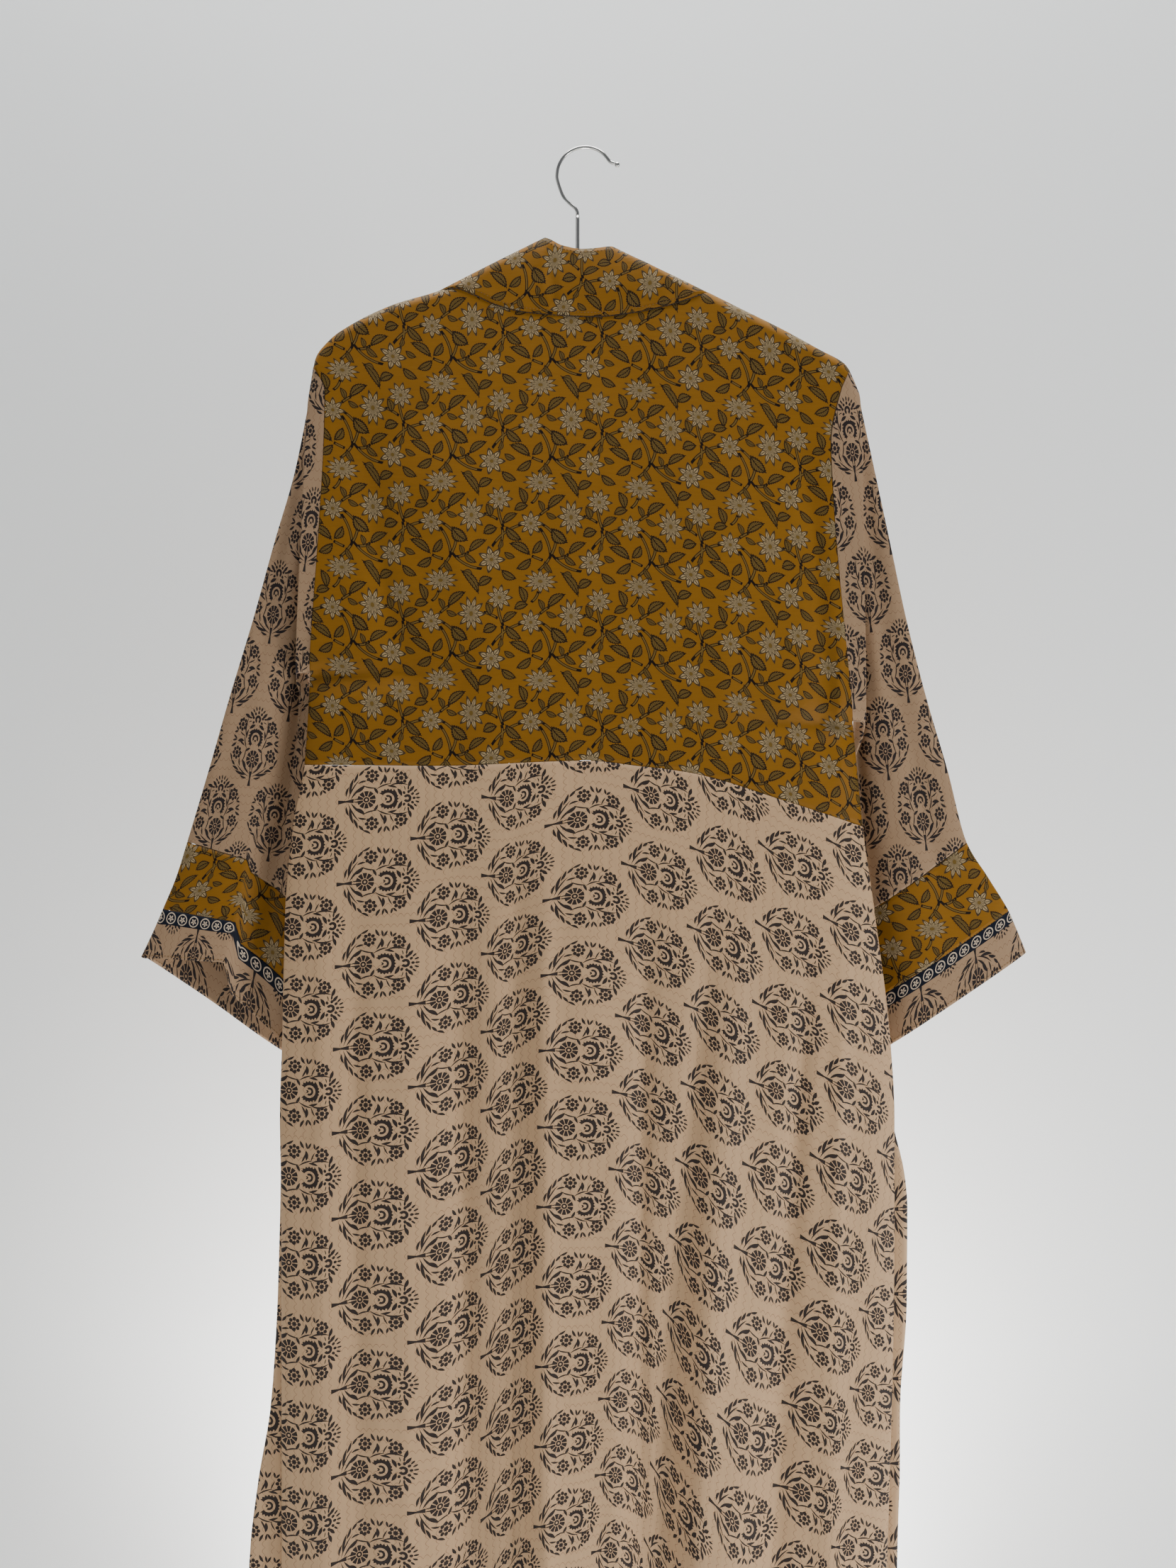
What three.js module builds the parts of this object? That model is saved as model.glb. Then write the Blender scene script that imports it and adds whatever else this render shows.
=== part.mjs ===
// A kimono-style robe of printed silk, hung on a wooden hanger and seen from its back.
// Millimetres, +Z up. The origin is the inside top of the hanger's hook.
// The garment's back faces -Y, its open front faces +Y, and "left" is the side at low X.
import * as THREE from 'three'

// Cloth and seams
const CLOTH = 1.2
const SEAM_GAP = 0.3
const HEM_Z = -1420

// Hook: round wire with a bow, a bend down to its ferrule, and a ball at the open end
const WIRE_RADIUS = 1.6
const BOW_RADIUS = 25.6
const BOW_CENTRE_Z = WIRE_RADIUS - BOW_RADIUS
const BOW_START = THREE.MathUtils.degToRad(52)
const BOW_END = THREE.MathUtils.degToRad(203)
const BOW_STEPS = 12
const BALL = { x: 29, z: -14.4, radius: 2.5 }
const HOOK_LIP = [
  { x: 26.5, z: -13.4 },
  { x: 22.6, z: -11.6 },
  { x: 19.2, z: -7.4 },
]
const HOOK_NECK = [
  { x: -20.4, z: -42.2 },
  { x: -14.4, z: -49.2 },
  { x: -8.9, z: -54 },
  { x: -7.2, z: -57.4 },
  { x: -7, z: -60.2 },
]
const WIRE_SIDES = 10
const WIRE_STEPS = 44
const FERRULE = { x: -7, top: -60.5, radius: 1.95, sides: 16 }

// Hanger arms: half thickness, tilt, and the height of the arm at the middle and at the tip
const ARM_HALF = 6
const ARM_EDGE = 3
const ARM_STEPS = 22
const HANGER_TILT = THREE.MathUtils.degToRad(2.5)
const ARM_TOP = [
  { x: 0, top: -99.8, height: 34 },
  { x: 25, top: -101.5, height: 31 },
  { x: 60, top: -112.5, height: 28 },
  { x: 105, top: -130.2, height: 26 },
  { x: 140, top: -143.2, height: 24 },
  { x: 160, top: -150.6, height: 23 },
  { x: 181, top: -159.4, height: 21 },
  { x: 200, top: -169.2, height: 17 },
  { x: 214, top: -178.6, height: 11 },
]

// The top fold of the robe over the arms, as seen from the back
const SHOULDER = [
  { x: -246.5, z: -200 },
  { x: -244, z: -190 },
  { x: -238, z: -181 },
  { x: -222, z: -166.5 },
  { x: -173, z: -141.8 },
  { x: -135, z: -130.4 },
  { x: -116, z: -122.5 },
  { x: -103, z: -117.5 },
  { x: -60, z: -103 },
  { x: 0, z: -97 },
  { x: 60, z: -108 },
  { x: 107, z: -129 },
  { x: 143, z: -146.8 },
  { x: 178, z: -164.2 },
  { x: 213, z: -183.4 },
  { x: 234, z: -195 },
  { x: 240.5, z: -203 },
]

// The seam between the back and the neckband
const BACK_NECK = [
  { x: -133, z: -129.8 },
  { x: -116, z: -128.4 },
  { x: -98, z: -134.6 },
  { x: -78, z: -143.6 },
  { x: -50, z: -150 },
  { x: 9, z: -153.5 },
  { x: 39, z: -150.5 },
  { x: 74, z: -143.5 },
  { x: 100, z: -135 },
  { x: 111, z: -131 },
]
const NECK_LEFT = BACK_NECK[0].x
const NECK_RIGHT = BACK_NECK[BACK_NECK.length - 1].x

// Edges of the back panel, and how far the fold of the fronts reaches past them
const SIDES = [
  { z: -200, left: -246.5, right: 240.5, leftFlap: 0, rightFlap: 0 },
  { z: -208, left: -240, right: 236, leftFlap: 0, rightFlap: 0 },
  { z: -222, left: -234.5, right: 230, leftFlap: 0, rightFlap: 0 },
  { z: -267, left: -235.5, right: 221, leftFlap: 0, rightFlap: 0 },
  { z: -330, left: -239, right: 224, leftFlap: 0, rightFlap: 0 },
  { z: -401, left: -244, right: 230, leftFlap: 0, rightFlap: 0 },
  { z: -471, left: -249, right: 237, leftFlap: 0, rightFlap: 0 },
  { z: -558, left: -254.5, right: 246, leftFlap: 0, rightFlap: 0 },
  { z: -615, left: -265, right: 251.5, leftFlap: 0, rightFlap: 0 },
  { z: -689, left: -272, right: 262, leftFlap: 0, rightFlap: 0 },
  { z: -813, left: -275, right: 277, leftFlap: 0, rightFlap: 1 },
  { z: -880, left: -277, right: 280.5, leftFlap: 0, rightFlap: 3 },
  { z: -962, left: -275.5, right: 280.5, leftFlap: 2, rightFlap: 12.5 },
  { z: -1048, left: -275.5, right: 280, leftFlap: 4.5, rightFlap: 12.5 },
  { z: -1141, left: -275.5, right: 278, leftFlap: 10.5, rightFlap: 8.5 },
  { z: -1211, left: -275.5, right: 276, leftFlap: 22, rightFlap: 10 },
  { z: -1275, left: -275.5, right: 274, leftFlap: 29.5, rightFlap: 10 },
  { z: HEM_Z, left: -276, right: 272, leftFlap: 35, rightFlap: 12 },
]

// The seam between the upper and the lower body
const WAIST = [
  { x: -290, z: -558.6 },
  { x: -133, z: -560 },
  { x: 2.5, z: -555.4 },
  { x: 46, z: -560 },
  { x: 93, z: -566 },
  { x: 178, z: -591 },
  { x: 251.5, z: -615 },
  { x: 290, z: -628 },
]

// How far the back and the fronts stand off the middle plane
const DEPTH = [
  { z: -130, back: 9.4, front: 9.4 },
  { z: -220, back: 13, front: 12 },
  { z: -330, back: 19, front: 16 },
  { z: -470, back: 23, front: 19 },
  { z: -600, back: 25, front: 21 },
  { z: -900, back: 28, front: 23 },
  { z: HEM_Z, back: 32, front: 26 },
]
const FOLD_RADIUS = 9.4
const SECTION_POWER = 2.6

// Armholes: the lowest point on each side, the half gap of the slot, and its rounded bottom
const UNDERARM_Z = { left: -475, right: -519.5 }
const ARMHOLE_HALF = 11
const ARMHOLE_ROUND = 26
// The heights of the yoke's rows of points at its left edge. The armhole takes the first twelve.
const YOKE_ROWS = [
  -200, -202, -206.5, -215, -232, -262, -300, -345, -390, -430, -452, -466, -475, -514, -558.5,
]
const ARMHOLE_ROWS = 12
const YOKE_GRID = YOKE_ROWS.length - 1
const SKIRT_GRID = 15

// Drape folds of the lower back: where each lies at the waist and at the hem, its half width,
// and how far it comes forward at the hem (below 0 is a trough)
const BACK_FOLDS = [
  { waist: -95, hem: -88, half: 30, rise: -9 },
  { waist: -45, hem: -34, half: 32, rise: 12 },
  { waist: 55, hem: 72, half: 34, rise: -10 },
  { waist: 95, hem: 122, half: 30, rise: 12 },
  { waist: 160, hem: 186, half: 34, rise: -7 },
  { waist: -190, hem: -205, half: 44, rise: 5 },
]
const FRONT_FOLDS = [
  { waist: -190, hem: -205, half: 34, rise: 9 },
  { waist: -120, hem: -130, half: 32, rise: -8 },
  { waist: 120, hem: 132, half: 32, rise: 9 },
  { waist: 185, hem: 200, half: 36, rise: -8 },
]
const FOLD_START_Z = -600
// The share of the width, in from each side, over which the folds grow
const FOLD_FADE_SHARE = 1 / 6

// The front edges from the neck down: the seam of the band and the band's free edge
const FRONT_EDGES = [
  { z: -131, seam: 1.0, edge: 38 },
  { z: -146, seam: 0.955, edge: 46 },
  { z: -170, seam: 0.88, edge: 50 },
  { z: -200, seam: 0.797, edge: 44 },
  { z: -235, seam: 0.707, edge: 34 },
  { z: -275, seam: 0.632, edge: 23 },
  { z: -325, seam: 0.571, edge: 13 },
  { z: -380, seam: 0.541, edge: 7.5 },
  { z: -450, seam: 0.53, edge: 5 },
  { z: -1000, seam: 0.54, edge: 6 },
  { z: HEM_Z, seam: 0.564, edge: 8 },
]
const NECK_HALF = 133
// Below the neck the two front edges draw level, over this height
const NECK_SPREAD = { top: -131, height: 200 }
// Where the band has turned over the shoulder, and where it lies flat with the fronts
const BAND_TURN = 60
const BAND_FLAT_Z = -380

// The neckband's free edge round the neck, against the x of its seam at the back
const BACK_BAND = [
  { seam: -133, x: -38, y: 0, z: -81.6 },
  { seam: -128, x: -37, y: -3, z: -81.8 },
  { seam: -116, x: -35, y: -5, z: -82.6 },
  { seam: -98, x: -31, y: -6.6, z: -84.6 },
  { seam: -60, x: -21, y: -8, z: -90 },
  { seam: 9, x: -3, y: -8.8, z: -93.5 },
  { seam: 50, x: 10, y: -8.4, z: -92.6 },
  { seam: 84, x: 20, y: -7, z: -91 },
  { seam: 100, x: 24.5, y: -5, z: -90.4 },
  { seam: 107, x: 26.5, y: -3, z: -90.6 },
  { seam: 111, x: 28, y: 0, z: -91 },
]
// The free edge on the front, just under the fold: the same columns against the seam's height
const FRONT_BAND = [
  { seamZ: -130, drop: 48, y: 1 },
  { seamZ: -133, drop: 48, y: 4 },
  { seamZ: -140, drop: 46, y: 7 },
  { seamZ: -150, drop: 42, y: 9 },
  { seamZ: -170, drop: 36, y: 12 },
  { seamZ: -200, drop: 34, y: 13.5 },
  { seamZ: -235, drop: 29, y: 14 },
  { seamZ: -275, drop: 21, y: 15 },
  { seamZ: -325, drop: 13, y: 16.5 },
  { seamZ: -380, drop: 5, y: 18 },
  { seamZ: -450, drop: 0, y: 19.5 },
]

// Sleeves, a row for each ring: the outer fold, the inner seam, how deep the ring sits at each,
// its half thickness, and how far the back layer is pushed up and out at its fold.
// Row 0 is the armhole. The mustard band is rows 8 to 10, and the cuff is rows 10 to 12.
const LEFT_SLEEVE = [
  { outX: -246.5, outZ: -200, inX: -249, inZ: -475, outY: 0, inY: 0, half: 11, lift: 0 },
  { outX: -250, outZ: -222, inX: -262, inZ: -476, outY: 0, inY: 0, half: 11.5, lift: 0 },
  { outX: -252, outZ: -234, inX: -263, inZ: -485, outY: 3, inY: 9, half: 6, lift: 0 },
  { outX: -264, outZ: -292, inX: -252, inZ: -520, outY: 5, inY: 21, half: 7, lift: 0 },
  { outX: -283, outZ: -357, inX: -243, inZ: -562, outY: 6, inY: 28, half: 8, lift: 0 },
  { outX: -302, outZ: -425, inX: -239, inZ: -606, outY: 7, inY: 31, half: 9, lift: 0 },
  { outX: -324.5, outZ: -499, inX: -235, inZ: -646, outY: 8, inY: 33, half: 10, lift: 3 },
  { outX: -343, outZ: -563, inX: -232, inZ: -682, outY: 9, inY: 34, half: 10.5, lift: 9 },
  { outX: -363, outZ: -629, inX: -229, inZ: -716, outY: 10, inY: 34, half: 11, lift: 20 },
  { outX: -373, outZ: -661, inX: -225, inZ: -762, outY: 10, inY: 35, half: 11, lift: 28 },
  { outX: -385, outZ: -690, inX: -221, inZ: -806, outY: 10, inY: 36, half: 11.5, lift: 37 },
  { outX: -394.5, outZ: -712, inX: -218, inZ: -840, outY: 10, inY: 37, half: 12, lift: 46 },
  { outX: -405, outZ: -734, inX: -215, inZ: -874, outY: 10, inY: 38, half: 12, lift: 55 },
]
const RIGHT_SLEEVE = [
  { outX: 240.5, outZ: -203, inX: 242, inZ: -519.5, outY: 0, inY: 0, half: 11, lift: 0 },
  { outX: 248, outZ: -222, inX: 254, inZ: -521, outY: 0, inY: 0, half: 11.5, lift: 0 },
  { outX: 250.5, outZ: -234, inX: 254, inZ: -530, outY: 3, inY: 9, half: 6, lift: 0 },
  { outX: 262, outZ: -286, inX: 245, inZ: -562, outY: 5, inY: 21, half: 7, lift: 0 },
  { outX: 277, outZ: -355, inX: 239, inZ: -596, outY: 6, inY: 28, half: 8, lift: 0 },
  { outX: 292, outZ: -425, inX: 236, inZ: -628, outY: 7, inY: 31, half: 9, lift: 0 },
  { outX: 311, outZ: -499, inX: 233, inZ: -659, outY: 8, inY: 33, half: 10, lift: 0 },
  { outX: 330, outZ: -563, inX: 230, inZ: -690, outY: 9, inY: 34, half: 10.5, lift: 0 },
  { outX: 348, outZ: -630, inX: 228, inZ: -720, outY: 10, inY: 34, half: 11, lift: 0 },
  { outX: 367, outZ: -661, inX: 225, inZ: -764, outY: 10, inY: 35, half: 11, lift: 0 },
  { outX: 386, outZ: -692, inX: 222, inZ: -808, outY: 10, inY: 36, half: 11.5, lift: 0 },
  { outX: 393, outZ: -708, inX: 218, inZ: -836, outY: 10, inY: 37, half: 12, lift: 0 },
  { outX: 402, outZ: -730, inX: 215, inZ: -863, outY: 10, inY: 38, half: 12, lift: 0 },
]
const BAND_ROW = 8
const CUFF_ROW = 10
const HEM_ROW = 12
const ROW_GAP = 0.0085
const ARMHOLE_GAP = 0.65
const SLEEVE_COLUMNS = 2 * ARMHOLE_ROWS
const SLEEVE_SQUARENESS = 0.6
const SLEEVE_FOLD_AT = 0.42
// How the push comes on from the outer fold, what is left of it past its fold, and its way out
const LIFT_ONSET = 0.5
const LIFT_UNDER = 0.5
const LIFT_OUT = 0.3

// Materials
const mustard = cloth('mustard_print', 0x91641a, 0.62)
const tan = cloth('tan_print', 0xb09476, 0.6)
const wood = new THREE.MeshStandardMaterial({ name: 'wood', color: 0xc7a777, roughness: 0.55 })
const steel = new THREE.MeshStandardMaterial({
  name: 'steel', color: 0xa8a6a2, roughness: 0.32, metalness: 1,
})

function cloth(name, color, roughness) {
  return new THREE.MeshStandardMaterial({ name, color, roughness, side: THREE.DoubleSide })
}

function lerp(a, b, k) {
  return a + (b - a) * k
}

function clamp01(k) {
  return Math.min(Math.max(k, 0), 1)
}

function smooth(k) {
  const t = clamp01(k)
  return t * t * (3 - 2 * t)
}

// A smooth curve through one named column of a table, against another column, with no overshoot
function column(rows, key, name) {
  const sorted = [...rows].sort((a, b) => a[key] - b[key])
  const at = sorted.map((row) => row[key])
  const value = sorted.map((row) => row[name])
  const slope = at.slice(1).map((next, i) => (value[i + 1] - value[i]) / (next - at[i]))
  const tangent = at.map((_, i) => {
    const before = slope[Math.max(i - 1, 0)]
    const after = slope[Math.min(i, slope.length - 1)]
    return before * after <= 0 ? 0 : (2 * before * after) / (before + after)
  })
  return (k) => {
    if (k <= at[0]) return value[0]
    const last = at.length - 1
    if (k >= at[last]) return value[last]
    let i = 0
    while (k > at[i + 1]) i += 1
    const width = at[i + 1] - at[i]
    const t = (k - at[i]) / width
    const rise = value[i + 1] - value[i]
    const start = tangent[i] * width
    const end = tangent[i + 1] * width
    return value[i] + start * t + (3 * rise - 2 * start - end) * t * t
      + (start + end - 2 * rise) * t * t * t
  }
}

const shoulderZ = column(SHOULDER, 'x', 'z')
const neckZ = column(BACK_NECK, 'x', 'z')
const waistZ = column(WAIST, 'x', 'z')
const leftX = column(SIDES, 'z', 'left')
const rightX = column(SIDES, 'z', 'right')
const leftFlap = column(SIDES, 'z', 'leftFlap')
const rightFlap = column(SIDES, 'z', 'rightFlap')
const backDepth = column(DEPTH, 'z', 'back')
const frontDepth = column(DEPTH, 'z', 'front')
const bandSeam = column(FRONT_EDGES, 'z', 'seam')
const bandEdge = column(FRONT_EDGES, 'z', 'edge')

// How much of the full depth is reached this far under the shoulder fold, as a quarter round
function foldOver(x, z) {
  const step = 1
  const slope = (shoulderZ(x + step) - shoulderZ(x - step)) / (2 * step)
  const under = (shoulderZ(x) - z) / Math.hypot(1, slope)
  const left = 1 - clamp01(under / FOLD_RADIUS)
  return Math.sqrt(1 - left * left)
}

// Half gap of the armhole slot at this height
function armholeHalf(side, z) {
  const left = 1 - clamp01((z - UNDERARM_Z[side]) / ARMHOLE_ROUND)
  return ARMHOLE_HALF * Math.sqrt(1 - left * left)
}

function drape(folds, x, z) {
  const down = clamp01((FOLD_START_Z - z) / (FOLD_START_Z - HEM_Z))
  let sum = 0
  for (const fold of folds) {
    const away = (x - lerp(fold.waist, fold.hem, down)) / fold.half
    sum += fold.rise * Math.exp(-away * away) * down
  }
  return sum
}

// The distance of a body panel from the middle plane. The panels close at the sides below the
// armhole, and stay open by the armhole's half gap above it.
function standOff(depth, folds, x, z) {
  const across = clamp01((x - leftX(z)) / (rightX(z) - leftX(z)))
  const off = Math.abs(2 * across - 1)
  const side = across < 0.5 ? 'left' : 'right'
  const closed = Math.pow(1 - Math.pow(off, SECTION_POWER), 1 / SECTION_POWER)
  const open = 1 - Math.pow(off, SECTION_POWER)
  const openness = smooth(1 + (z - UNDERARM_Z[side]) / ARMHOLE_ROUND)
  const bow = lerp(closed, open, openness)
  const edge = armholeHalf(side, z) + (openness * CLOTH) / 2
  const calm = smooth(Math.min(across, 1 - across) / FOLD_FADE_SHARE)
  const full = foldOver(x, z) * (edge + (depth(z) - edge) * bow) + drape(folds, x, z) * calm
  return SEAM_GAP / 2 + full
}

function backY(x, z) {
  return -standOff(backDepth, BACK_FOLDS, x, z)
}

function frontY(x, z) {
  return standOff(frontDepth, FRONT_FOLDS, x, z)
}

// Half the step in u and v over which a surface's normal is taken
const NORMAL_STEP = 1e-4

// A closed wall round the middle surface point(u, v), with u across and v down, both 0 to 1.
// A tube is closed in u.
function wall(point, columns, rows, { tube = false, thickness = CLOTH } = {}) {
  const across = tube ? columns : columns + 1
  const positions = []
  const before = new THREE.Vector3()
  const normalAt = (u, v) => {
    const u0 = tube ? u - NORMAL_STEP : Math.max(u - NORMAL_STEP, 0)
    const u1 = tube ? u + NORMAL_STEP : Math.min(u + NORMAL_STEP, 1)
    const alongU = point(u1, v).sub(before.copy(point(u0, v)))
    const v0 = Math.max(v - NORMAL_STEP, 0)
    const v1 = Math.min(v + NORMAL_STEP, 1)
    const alongV = point(u, v1).sub(before.copy(point(u, v0)))
    return alongU.cross(alongV).normalize()
  }
  for (const face of [1, -1]) {
    for (let j = 0; j <= rows; j += 1) {
      for (let i = 0; i < across; i += 1) {
        const middle = point(i / columns, j / rows)
        middle.addScaledVector(normalAt(i / columns, j / rows), (face * thickness) / 2)
        positions.push(middle.x, middle.y, middle.z)
      }
    }
  }
  const outer = (i, j) => j * across + (i % across)
  const inner = (i, j) => outer(i, j) + across * (rows + 1)
  const index = []
  const quad = (a, b, c, d) => index.push(a, b, c, a, c, d)
  for (let j = 0; j < rows; j += 1) {
    for (let i = 0; i < columns; i += 1) {
      quad(outer(i, j), outer(i + 1, j), outer(i + 1, j + 1), outer(i, j + 1))
      quad(inner(i, j), inner(i, j + 1), inner(i + 1, j + 1), inner(i + 1, j))
    }
  }
  for (let i = 0; i < columns; i += 1) {
    quad(outer(i + 1, 0), outer(i, 0), inner(i, 0), inner(i + 1, 0))
    quad(outer(i, rows), outer(i + 1, rows), inner(i + 1, rows), inner(i, rows))
  }
  for (let j = 0; j < rows && !tube; j += 1) {
    quad(outer(0, j), outer(0, j + 1), inner(0, j + 1), inner(0, j))
    quad(outer(columns, j + 1), outer(columns, j), inner(columns, j), inner(columns, j + 1))
  }
  const geometry = new THREE.BufferGeometry()
  geometry.setAttribute('position', new THREE.Float32BufferAttribute(positions, 3))
  geometry.setIndex(index)
  geometry.computeVertexNormals()
  return geometry
}

const robe = new THREE.Group()

function add(name, geometry, material) {
  const mesh = new THREE.Mesh(geometry, material)
  mesh.name = name
  robe.add(mesh)
  return mesh
}

// The height of the waist seam where this share of the panel's width meets it, found in a few
// turns, because the width depends on the height too
const SEAM_TURNS = 6

function seamHeight(xAt, share) {
  let z = waistZ(0)
  for (let turn = 0; turn < SEAM_TURNS; turn += 1) z = waistZ(xAt(z, share))
  return z
}

// Back: columns of points over the left shoulder, along the neck seam and over the right shoulder
const LEFT_COLUMNS = 8
const NECK_COLUMNS = 16
const BACK_COLUMNS = 32
const FRONT_COLUMNS = 14
const SIDE_CROWDING = 1.4
const backX = (z, share) => lerp(leftX(z), rightX(z), share)
const LEFT_TIP = SHOULDER[0].x
const RIGHT_TIP = SHOULDER[SHOULDER.length - 1].x

function backShare(u) {
  const k = u * BACK_COLUMNS
  const neckStart = (NECK_LEFT - LEFT_TIP) / (RIGHT_TIP - LEFT_TIP)
  const neckEnd = (NECK_RIGHT - LEFT_TIP) / (RIGHT_TIP - LEFT_TIP)
  const neckColumn = LEFT_COLUMNS + NECK_COLUMNS
  if (k < LEFT_COLUMNS) return neckStart * Math.pow(k / LEFT_COLUMNS, SIDE_CROWDING)
  if (k <= neckColumn) return lerp(neckStart, neckEnd, (k - LEFT_COLUMNS) / NECK_COLUMNS)
  const fromSide = (BACK_COLUMNS - k) / (BACK_COLUMNS - neckColumn)
  return 1 - (1 - neckEnd) * Math.pow(fromSide, SIDE_CROWDING)
}

// The share of the yoke's height at this row of points, which may lie between two rows
function yokeRow(row) {
  const last = YOKE_ROWS.length - 1
  const i = Math.min(Math.floor(row), last - 1)
  const z = lerp(YOKE_ROWS[i], YOKE_ROWS[i + 1], row - i)
  return (YOKE_ROWS[0] - z) / (YOKE_ROWS[0] - YOKE_ROWS[last])
}

function backTopZ(x) {
  return x > NECK_LEFT && x < NECK_RIGHT ? neckZ(x) : shoulderZ(x)
}

function backYoke(u, v) {
  const share = backShare(u)
  const top = backTopZ(lerp(LEFT_TIP, RIGHT_TIP, share))
  const bottom = seamHeight(backX, share) + SEAM_GAP / 2
  const z = lerp(top, bottom, yokeRow(v * YOKE_GRID))
  const x = backX(z, share)
  return new THREE.Vector3(x, backY(x, z), z)
}

function backSkirt(u, v) {
  const share = backShare(u)
  const z = lerp(seamHeight(backX, share) - SEAM_GAP, HEM_Z, v)
  const x = backX(z, share)
  return new THREE.Vector3(x, backY(x, z), z)
}

add('back_yoke', wall(backYoke, BACK_COLUMNS, YOKE_GRID), mustard)
add('back_skirt', wall(backSkirt, BACK_COLUMNS, SKIRT_GRID), tan)

// Fronts: from the side seam at share 0 to the band's seam at share 1
const SEAM_SPREAD = { left: NECK_LEFT / NECK_HALF, right: NECK_RIGHT / NECK_HALF }

function bandSeamX(side, z) {
  const level = smooth((NECK_SPREAD.top - z) / NECK_SPREAD.height)
  const spread = lerp(SEAM_SPREAD[side], Math.sign(SEAM_SPREAD[side]), level)
  return spread * NECK_HALF * bandSeam(z)
}

function frontX(side) {
  const outer = side === 'left' ? leftX : rightX
  return (z, share) => lerp(outer(z), bandSeamX(side, z), share)
}

function frontYoke(side) {
  const xAt = frontX(side)
  const tip = side === 'left' ? LEFT_TIP : RIGHT_TIP
  const neck = side === 'left' ? NECK_LEFT : NECK_RIGHT
  return (u, v) => {
    const share = Math.pow(side === 'left' ? u : 1 - u, SIDE_CROWDING)
    const bottom = seamHeight(xAt, share) + SEAM_GAP / 2
    const z = lerp(shoulderZ(lerp(tip, neck, share)), bottom, yokeRow(v * YOKE_GRID))
    const x = xAt(z, share)
    return new THREE.Vector3(x, frontY(x, z), z)
  }
}

// The fold of the lower front that stands out past the back's edge, as a path at one height:
// out from the side seam, round a U, and back in to the panel
const FLAP_RADIUS = 4
const FLAP_SHARE = 0.34
const FLAP_OUT_SHARE = 0.4
const FLAP_TURNED_SHARE = 0.8
const FLAP_RETURN = 20
const FLAP_TOP_Z = -760
const FLAP_FULL_Z = -930

function flapPath(side, z, k) {
  const outward = side === 'left' ? -1 : 1
  const seam = side === 'left' ? leftX(z) : rightX(z)
  const reach = side === 'left' ? leftFlap(z) : rightFlap(z)
  const centre = seam + outward * (reach - FLAP_RADIUS)
  const start = SEAM_GAP + CLOTH / 2
  if (k < FLAP_OUT_SHARE) {
    return [lerp(seam - outward * CLOTH, centre, k / FLAP_OUT_SHARE), start]
  }
  if (k < FLAP_TURNED_SHARE) {
    const turn = Math.PI * (k - FLAP_OUT_SHARE) / (FLAP_TURNED_SHARE - FLAP_OUT_SHARE)
    return [
      centre + outward * FLAP_RADIUS * Math.sin(turn),
      start + FLAP_RADIUS * (1 - Math.cos(turn)),
    ]
  }
  const back = (k - FLAP_TURNED_SHARE) / (1 - FLAP_TURNED_SHARE)
  return [lerp(centre, seam - outward * FLAP_RETURN, back), start + 2 * FLAP_RADIUS]
}

function frontSkirt(side) {
  const xAt = frontX(side)
  return (u, v) => {
    const along = side === 'left' ? u : 1 - u
    const share = Math.pow(along, SIDE_CROWDING)
    const z = lerp(seamHeight(xAt, share) - SEAM_GAP, HEM_Z, v)
    const x = xAt(z, share)
    const y = frontY(x, z)
    const amount = smooth((FLAP_TOP_Z - z) / (FLAP_TOP_Z - FLAP_FULL_Z))
    if (along >= FLAP_SHARE || amount === 0) return new THREE.Vector3(x, y, z)
    const k = along / FLAP_SHARE
    const [flapX, flapY] = flapPath(side, z, k)
    const blend = amount * (1 - smooth((k - FLAP_TURNED_SHARE) / (1 - FLAP_TURNED_SHARE)))
    return new THREE.Vector3(lerp(x, flapX, blend), lerp(y, flapY, blend), z)
  }
}

for (const side of ['left', 'right']) {
  add(`front_${side}_yoke`, wall(frontYoke(side), FRONT_COLUMNS, YOKE_GRID), mustard)
  add(`front_${side}_skirt`, wall(frontSkirt(side), FRONT_COLUMNS, SKIRT_GRID), tan)
}

// Neckband: one band from the left hem, over the back neck, to the right hem. Each station is a
// point on the seam, in line with a row or column of the panels, and a point of the free edge.
const BAND_SEAM_GAP = 0.75
// On the back, where the band leans over its seam, the gap is this many times as wide
const LEANING_SEAM = 4
const FRONT_STATIONS = YOKE_GRID + SKIRT_GRID

function frontStations(side) {
  const sign = side === 'left' ? -1 : 1
  const neck = side === 'left' ? NECK_LEFT : NECK_RIGHT
  const shoulder = BACK_BAND[side === 'left' ? 0 : BACK_BAND.length - 1]
  const drop = column(FRONT_BAND, 'seamZ', 'drop')
  const depth = column(FRONT_BAND, 'seamZ', 'y')
  const waist = seamHeight(frontX(side), 1)
  const heights = []
  for (let row = 1; row < YOKE_GRID; row += 1) {
    heights.push(lerp(shoulderZ(neck), waist, yokeRow(row)))
  }
  for (let row = 0; row <= SKIRT_GRID; row += 1) {
    heights.push(lerp(waist, HEM_Z, row / SKIRT_GRID))
  }
  return heights.map((z) => {
    const seamX = bandSeamX(side, z)
    const edgeX = sign * bandEdge(z)
    const turned = smooth((shoulderZ(neck) - z) / BAND_TURN)
    const low = smooth((BAND_FLAT_Z - z) / BAND_TURN)
    return {
      seam: new THREE.Vector3(seamX, frontY(seamX, z), z),
      edge: new THREE.Vector3(
        lerp(shoulder.x, edgeX, turned),
        lerp(depth(z), frontY(edgeX, z), low),
        lerp(shoulder.z, z + drop(z), turned),
      ),
    }
  })
}

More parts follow.
